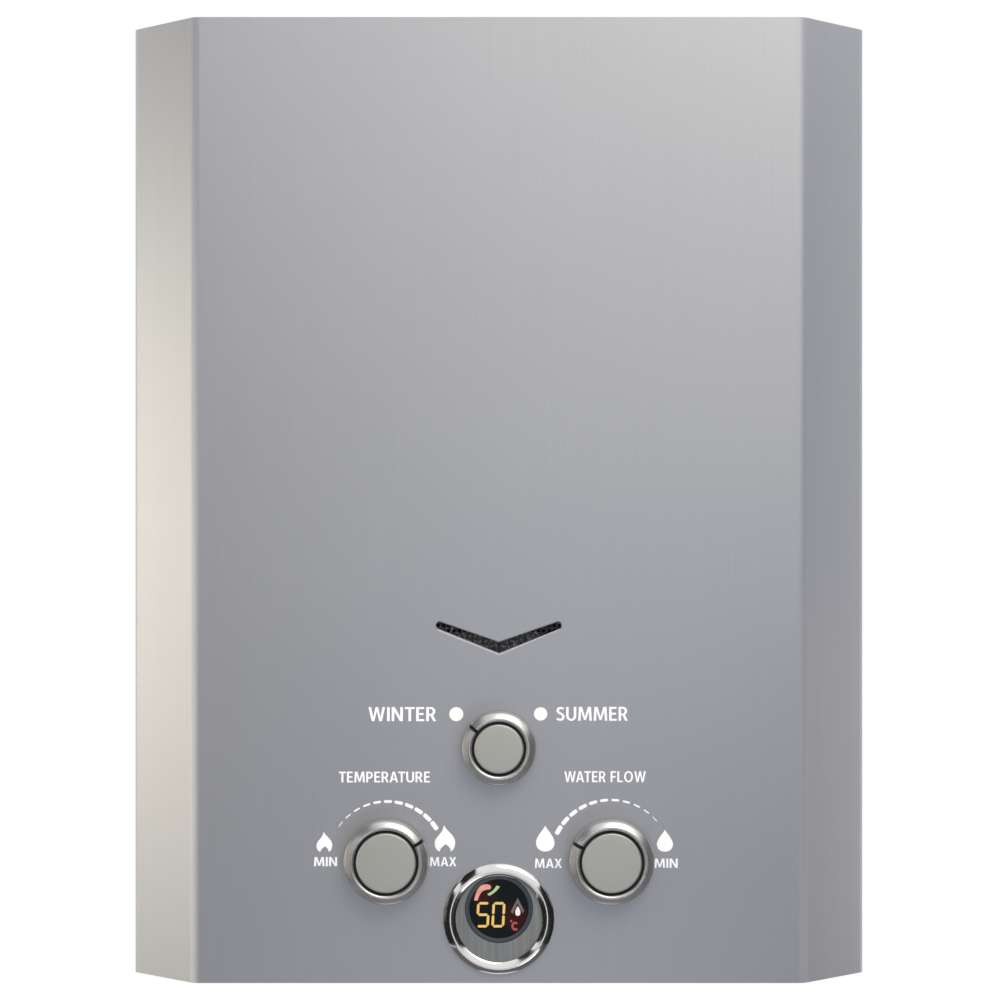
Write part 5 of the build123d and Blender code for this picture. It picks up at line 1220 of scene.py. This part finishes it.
values = {
    "Turns": THREAD_LENGTH / THREAD_PITCH,
    "Steps": THREAD_STEPS,
    "Radius": THREAD_RADIUS - THREAD_DEPTH / 4,
    "Length": THREAD_LENGTH,
    "Depth": THREAD_DEPTH,
    "Metal": brass,
}
for fitting in ("cold_inlet", "gas_inlet", "hot_outlet"):
    low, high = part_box(fitting)
    foot = ((low[0] + high[0]) / 2, (low[1] + high[1]) / 2, low[2] + THREAD_START)
    name = f"{fitting}_thread"
    thread = grown_piece(name, grown_mesh(name, tree, values, foot), brass)
    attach(thread, "housing")

# Battery lid grip: a row of round-backed ribs across the lid, moulded with it in the same black
# ABS, for a thumb to catch.
RIBS = 7
RIB_SHARE = 0.62
RIB_PITCH = 4.0 * MM
RIB_WIDTH = 1.4 * MM
RIB_RISE = 0.9 * MM
RIB_FRONT = 8.0 * MM
RIB_SIDES = 8

tree, given = new_group(
    "grip_ribs", {"Ribs": "Int", "Pitch": "Float", "Size": "Vector", "Plastic": "Material"}
)
step = add_node(tree, "ShaderNodeCombineXYZ", [("Y", given["Pitch"])]).outputs[0]
row = add_node(
    tree, "GeometryNodeMeshLine", [("Count", given["Ribs"]), ("Offset", step)], mode="OFFSET"
).outputs[0]
bar = add_node(
    tree, "GeometryNodeMeshCylinder", [("Vertices", RIB_SIDES), ("Radius", 0.5), ("Depth", 1.0)]
).outputs[0]
along = add_node(
    tree, "GeometryNodeTransform", [("Geometry", bar), ("Rotation", (0, pi / 2, 0))]
).outputs[0]
laid = add_node(
    tree,
    "GeometryNodeInstanceOnPoints",
    [("Points", row), ("Instance", along), ("Scale", given["Size"])],
).outputs[0]
end_group(tree, laid, given["Plastic"])

low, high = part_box("battery_lid")
values = {
    "Ribs": RIBS,
    "Pitch": RIB_PITCH,
    "Size": ((high[0] - low[0]) * RIB_SHARE, RIB_WIDTH, 2 * RIB_RISE),
    "Plastic": abs_black,
}
foot = ((low[0] + high[0]) / 2, low[1] + RIB_FRONT, low[2])
ribs = grown_piece("battery_lid_ribs", grown_mesh("lid_ribs", tree, values, foot), abs_black)
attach(ribs, "battery_door")

# Floor: a pale studio floor of painted board, matt and faintly scuffed. The heater hangs free,
# some way above it.
FLOOR_Z = -0.95
FLOOR_HALF = 3.0
SCUFF_SIZE = 300 * MM

pale_floor = mottled("matt_studio_floor", [("Roughness", 0.8)], SCUFF_SIZE, 3.0, "#e6e6e4", "#ecebe9")
made = bmesh.new()
corners = ((-1, -1), (1, -1), (1, 1), (-1, 1))
made.faces.new([made.verts.new((x * FLOOR_HALF, y * FLOOR_HALF, FLOOR_Z)) for x, y in corners])
finished_piece("studio_floor", made, pale_floor)

# Flags: felt cards bowed round the display like parts of a globe, black ones at its sides and a
# grey one below. They are seen only in bright metal, and leave its top to the white surround.
FLAG_RADIUS = 0.8
FLAG_STEPS = 12
NAP_SIZE = 4 * MM
CAMERA_SPOT = (0.0005, -1.390, -0.0182)
BLACK_FELT = ("#0c0c0d", "#1a1a1b")
GREY_FELT = ("#625f5d", "#6e6b69")
# Each card: the turn of its middle and half its spread round the display's axis, its inner and
# outer edge away from that axis, all in degrees, and its felt
FLAGS = {
    "flag_right": (-1, 38, 3, 100, BLACK_FELT),
    "flag_left": (182, 31, 3, 100, BLACK_FELT),
    "flag_upper_left": (128, 11, 3, 100, BLACK_FELT),
    "flag_far_left": (145, 8, 60, 100, BLACK_FELT),
    "flag_below": (272, 57, 24, 100, GREY_FELT),
}

middle = Vector((0.0, PANEL_Y, DISPLAY_Z))
lowered = atan2(CAMERA_SPOT[2] - DISPLAY_Z, PANEL_Y - CAMERA_SPOT[1])
globe = Matrix.Translation(middle) @ Matrix.Rotation(lowered, 4, "X") @ Matrix.Scale(FLAG_RADIUS, 4)
for name, (turn, spread, near, far, tones) in FLAGS.items():
    felt = mottled(f"felt_card_{name}", [("Roughness", 0.9)], NAP_SIZE, 3.0, *tones)
    made = bmesh.new()
    rows = []
    for step in range(FLAG_STEPS + 1):
        off = radians(near + (far - near) * step / FLAG_STEPS)
        row = []
        for part in range(FLAG_STEPS + 1):
            side = radians(turn - spread + 2 * spread * part / FLAG_STEPS)
            row.append(made.verts.new((sin(off) * cos(side), -cos(off), sin(off) * sin(side))))
        rows.append(row)
    for inner, outer in zip(rows, rows[1:]):
        for i in range(FLAG_STEPS):
            made.faces.new((inner[i], outer[i], outer[i + 1], inner[i + 1]))
    card = finished_piece(name, made, felt)
    card.data.transform(globe)
    card.visible_camera = False
    card.visible_diffuse = False
    card.visible_shadow = False

# Studio light: a white surround, a large soft key from the upper right and a weak fill from below.
# The bevels show a warm light at the left and a faint one at the right. Two small ones reach the
# knob rings and the foot of the right bevel; the first casts no shadow, to leave the print even.
SURROUND = 0.73


def soft_light(name, spot, aim, size, power, tint, shadow=True):
    """Rectangular soft light of one tint at a spot, aimed at a point."""
    lamp = bpy.data.lights.new(name, "AREA")
    lamp.shape = "RECTANGLE"
    lamp.size, lamp.size_y = size
    lamp.energy = power
    lamp.color = colour(tint)[:3]
    lamp.use_shadow = shadow
    holder = bpy.data.objects.new(name, lamp)
    holder.location = spot
    holder.rotation_euler = (Vector(aim) - Vector(spot)).to_track_quat("-Z", "Y").to_euler()
    bpy.context.scene.collection.objects.link(holder)


soft_light("key_light", (0.56, -1.70, 1.27), (0.0, -0.14, 0.0), (1.2, 1.2), 18.8, "#fff2da")
soft_light("fill_light", (0.50, -1.50, -0.75), (0.03, -0.14, -0.20), (0.6, 0.6), 3.0, "#dfe9ff")
soft_light("left_light", (-1.15, -0.12, -0.04), (-0.16, -0.12, -0.04), (0.5, 0.5), 4.6, "#fff4d4")
soft_light(
    "ring_light", (-0.75, -0.50, -0.15), (-0.05, -0.15, -0.16), (0.3, 0.3), 2.3, "#fff2e4", shadow=False
)
soft_light("low_light", (1.00, -0.08, -0.44), (0.16, -0.12, -0.21), (0.3, 0.3), 1.6, "#ffeedd")
soft_light("right_light", (1.15, -0.12, -0.06), (0.16, -0.12, -0.06), (0.5, 0.9), 1.3, "#f6f8ff")

world = bpy.data.worlds.new("white_surround")
world.use_nodes = True
tree = world.node_tree
rays = add_node(tree, "ShaderNodeLightPath").outputs
seen = rays["Is Camera Ray"]
for kind in ("Is Glossy Ray", "Is Transmission Ray"):
    either = [(0, seen), (1, rays[kind])]
    seen = add_node(tree, "ShaderNodeMath", either, operation="MAXIMUM").outputs[0]
level = add_node(
    tree, "ShaderNodeMapRange", [("Value", seen), ("To Min", SURROUND), ("To Max", 1.0)]
).outputs["Result"]
sky = add_node(
    tree,
    "ShaderNodeMix",
    [(0, seen), (6, colour("#eaf1ff")), (7, colour("#ffffff"))],
    data_type="RGBA",
).outputs[2]
feed(tree.nodes["Background"], [("Color", sky), ("Strength", level)])
scene = bpy.context.scene
scene.world = world
scene.view_settings.view_transform = "Standard"

# Camera: straight on to the panel and a little below its middle, as the photograph was taken. Its
# lens is long, and is shifted so that the uprights stay upright.
CAMERA_LENS = 98.8
CAMERA_SHIFT = 0.04

view = bpy.data.cameras.new("photograph_view")
view.lens = CAMERA_LENS
view.shift_y = CAMERA_SHIFT
camera = bpy.data.objects.new("photograph_view", view)
camera.location = CAMERA_SPOT
camera.rotation_euler = (pi / 2, 0, 0)
scene.collection.objects.link(camera)
scene.camera = camera
